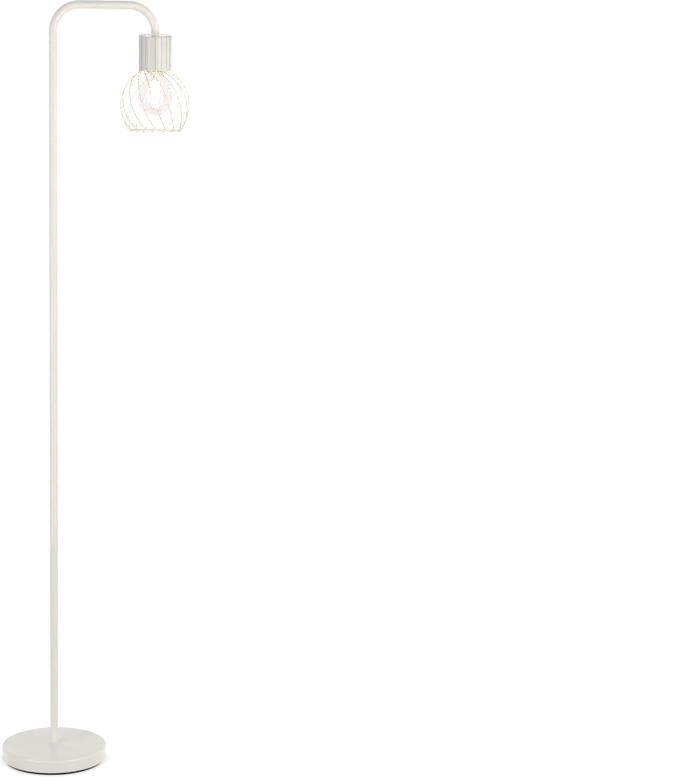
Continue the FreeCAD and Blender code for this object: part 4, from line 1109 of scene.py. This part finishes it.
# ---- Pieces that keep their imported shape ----
KEPT_NODES = {
    "cast_iron": ["base_weight"],
    "foot_zinc": ["base_flat_washer", "base_lock_washer", "base_lock_nut", "foot_bush",
                  "lower_joint_bush", "upper_joint_bush"],
    "head_zinc": ["arm_end_bush", "head_flat_washer", "head_lock_nut"],
    "black_rubber": ["cord_grommet"],
    "lead_sheath": ["inner_lead"],
    "plated_brass": ["holder_spring_contact", "holder_terminal_screws"],
    "circuit_board": ["bulb_driver_board"],
}


def dress_kept_nodes():
    for finish, nodes in KEPT_NODES.items():
        for node in nodes:
            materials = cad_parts[node].data.materials
            materials.clear()
            materials.append(FINISHES[finish])


# ---- Floor, background, lamps and camera ----
FILL_LEVEL = 0.32                  # light of the world and of the far floor on the lamp
FLOOR_LEVEL = 0.6                  # added to the near floor where it is seen
FLOOR_FADE = (0.25, 0.9)           # metres from the pole, near floor to far floor
FLOOR_RADII = (0, 0.4, 1.2, 6.0)


def seen_directly(tree):
    """1 for rays from the camera, a reflection or a refraction, else 0."""
    path = tree.nodes.new("ShaderNodeLightPath").outputs
    seen = calc(tree, "MAXIMUM", path["Is Camera Ray"], path["Is Glossy Ray"])
    return calc(tree, "MAXIMUM", seen, path["Is Transmission Ray"])


def make_floor():
    """Pale round floor that keeps the soft shadow and fades into the white background."""
    tree, _, here = new_finish("pale_floor", Base_Color=rgb(0.62, 0.62, 0.61), Roughness=0.9,
                               Specular_IOR_Level=0.1)
    seen = seen_directly(tree)
    glow = add(tree, "ShaderNodeEmission", WHITE,
               calc(tree, "MULTIPLY", seen, FLOOR_LEVEL))
    paint = tree.nodes["Principled BSDF"].outputs[0]
    near = add(tree, "ShaderNodeAddShader", paint, glow)
    far = add(tree, "ShaderNodeEmission", WHITE,
              rescale(tree, seen, 0.0, 1.0, FILL_LEVEL))
    fade = rescale(tree, vector_calc(tree, "LENGTH", here), *FLOOR_FADE)
    mixed = add(tree, "ShaderNodeMixShader", fade, near, far)
    send(tree, tree.nodes["Material Output"].inputs, Surface=mixed)
    mesh = lathe([(radius, 0) for radius in FLOOR_RADII], closed=False)
    mesh.materials.append(FINISHES["pale_floor"])
    put_in_scene("floor", mesh)


def make_background():
    """White where it is seen, and a plain soft fill for the light that it gives."""
    world = bpy.data.worlds.new("white_studio")
    world.use_nodes = True
    bpy.context.scene.world = world
    tree = world.node_tree
    sockets = tree.nodes["Background"].inputs
    sockets["Color"].default_value = WHITE
    send(tree, sockets, Strength=rescale(tree, seen_directly(tree), 0.0, 1.0, FILL_LEVEL))


def make_lamps():
    """Belt of plain white soft boxes, and the bulb's own glow.

    Only the two strips show in gloss, as the bright bands down the pole.
    """
    middle = (0.05, 0.0, 0.8)
    for name, place, aim, width, height, power in (
            ("left_strip", (-1.39, -1.44, 0.95), middle, 0.9, 1.9, 22.0),
            ("right_strip", (1.39, -1.44, 0.95), middle, 0.8, 1.9, 12.0),
            ("right_box", (2.0, -0.4, 0.8), middle, 0.8, 1.6, 13.0),
            ("back_left_box", (-1.5, 1.8, 1.0), middle, 0.8, 1.6, 14.0),
            ("back_right_box", (1.5, 1.8, 1.0), middle, 0.8, 1.6, 14.0),
            ("head_box", (0.52, -0.30, 1.42), (HEAD_X, 0, 1.4), 0.2, 0.3, 0.6)):
        lamp = bpy.data.lights.new(name, "AREA")
        lamp.shape = "RECTANGLE"
        lamp.size = width
        lamp.size_y = height
        lamp.energy = power
        box = put_in_scene(name, lamp)
        box.location = place
        box.rotation_euler = (Vector(aim) - Vector(place)).to_track_quat("-Z", "Y").to_euler()
        box.visible_camera = False
        box.visible_transmission = False
        box.visible_glossy = name.endswith("_strip")
    glow = bpy.data.lights.new("bulb_glow", "POINT")
    glow.energy = 0.28
    glow.color = (1.0, 0.76, 0.42)
    glow.shadow_soft_size = 6 * MM
    source = put_in_scene("bulb_glow", glow)
    source.location = (HEAD_X, 0, (FILAMENT_TOP + FILAMENT_LOW) / 2)
    source.visible_glossy = False
    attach(source, "bulb")


def make_camera():
    """View from the front, from a little below the cage; the lamp stands at the left."""
    lens = bpy.data.cameras.new("camera")
    lens.sensor_width = 36.0
    lens.lens = 79.129
    lens.shift_x = 0.20
    lens.shift_y = -0.085
    lens.clip_start = 0.05
    camera = put_in_scene("camera", lens)
    camera.location = (-10.165 * MM, -3400.0 * MM, 1180.0 * MM)
    turned = Matrix.Rotation(radians(-4.499), 3, "Z")
    tipped = Matrix.Rotation(radians(90 - 5.014), 3, "X")
    rolled = Matrix.Rotation(radians(0.274), 3, "Z")
    camera.rotation_euler = (turned @ tipped @ rolled).to_euler()
    bpy.context.scene.camera = camera


make_base_cover()
make_base_pad()
make_tubes()
make_fittings()
make_cup()
make_cage()
make_holder()
make_screw_shell()
make_bulb_glass()
make_bulb_cap()
make_filaments()
dress_kept_nodes()
make_floor()
make_background()
make_lamps()
make_camera()
bpy.context.scene.view_settings.view_transform = "Standard"
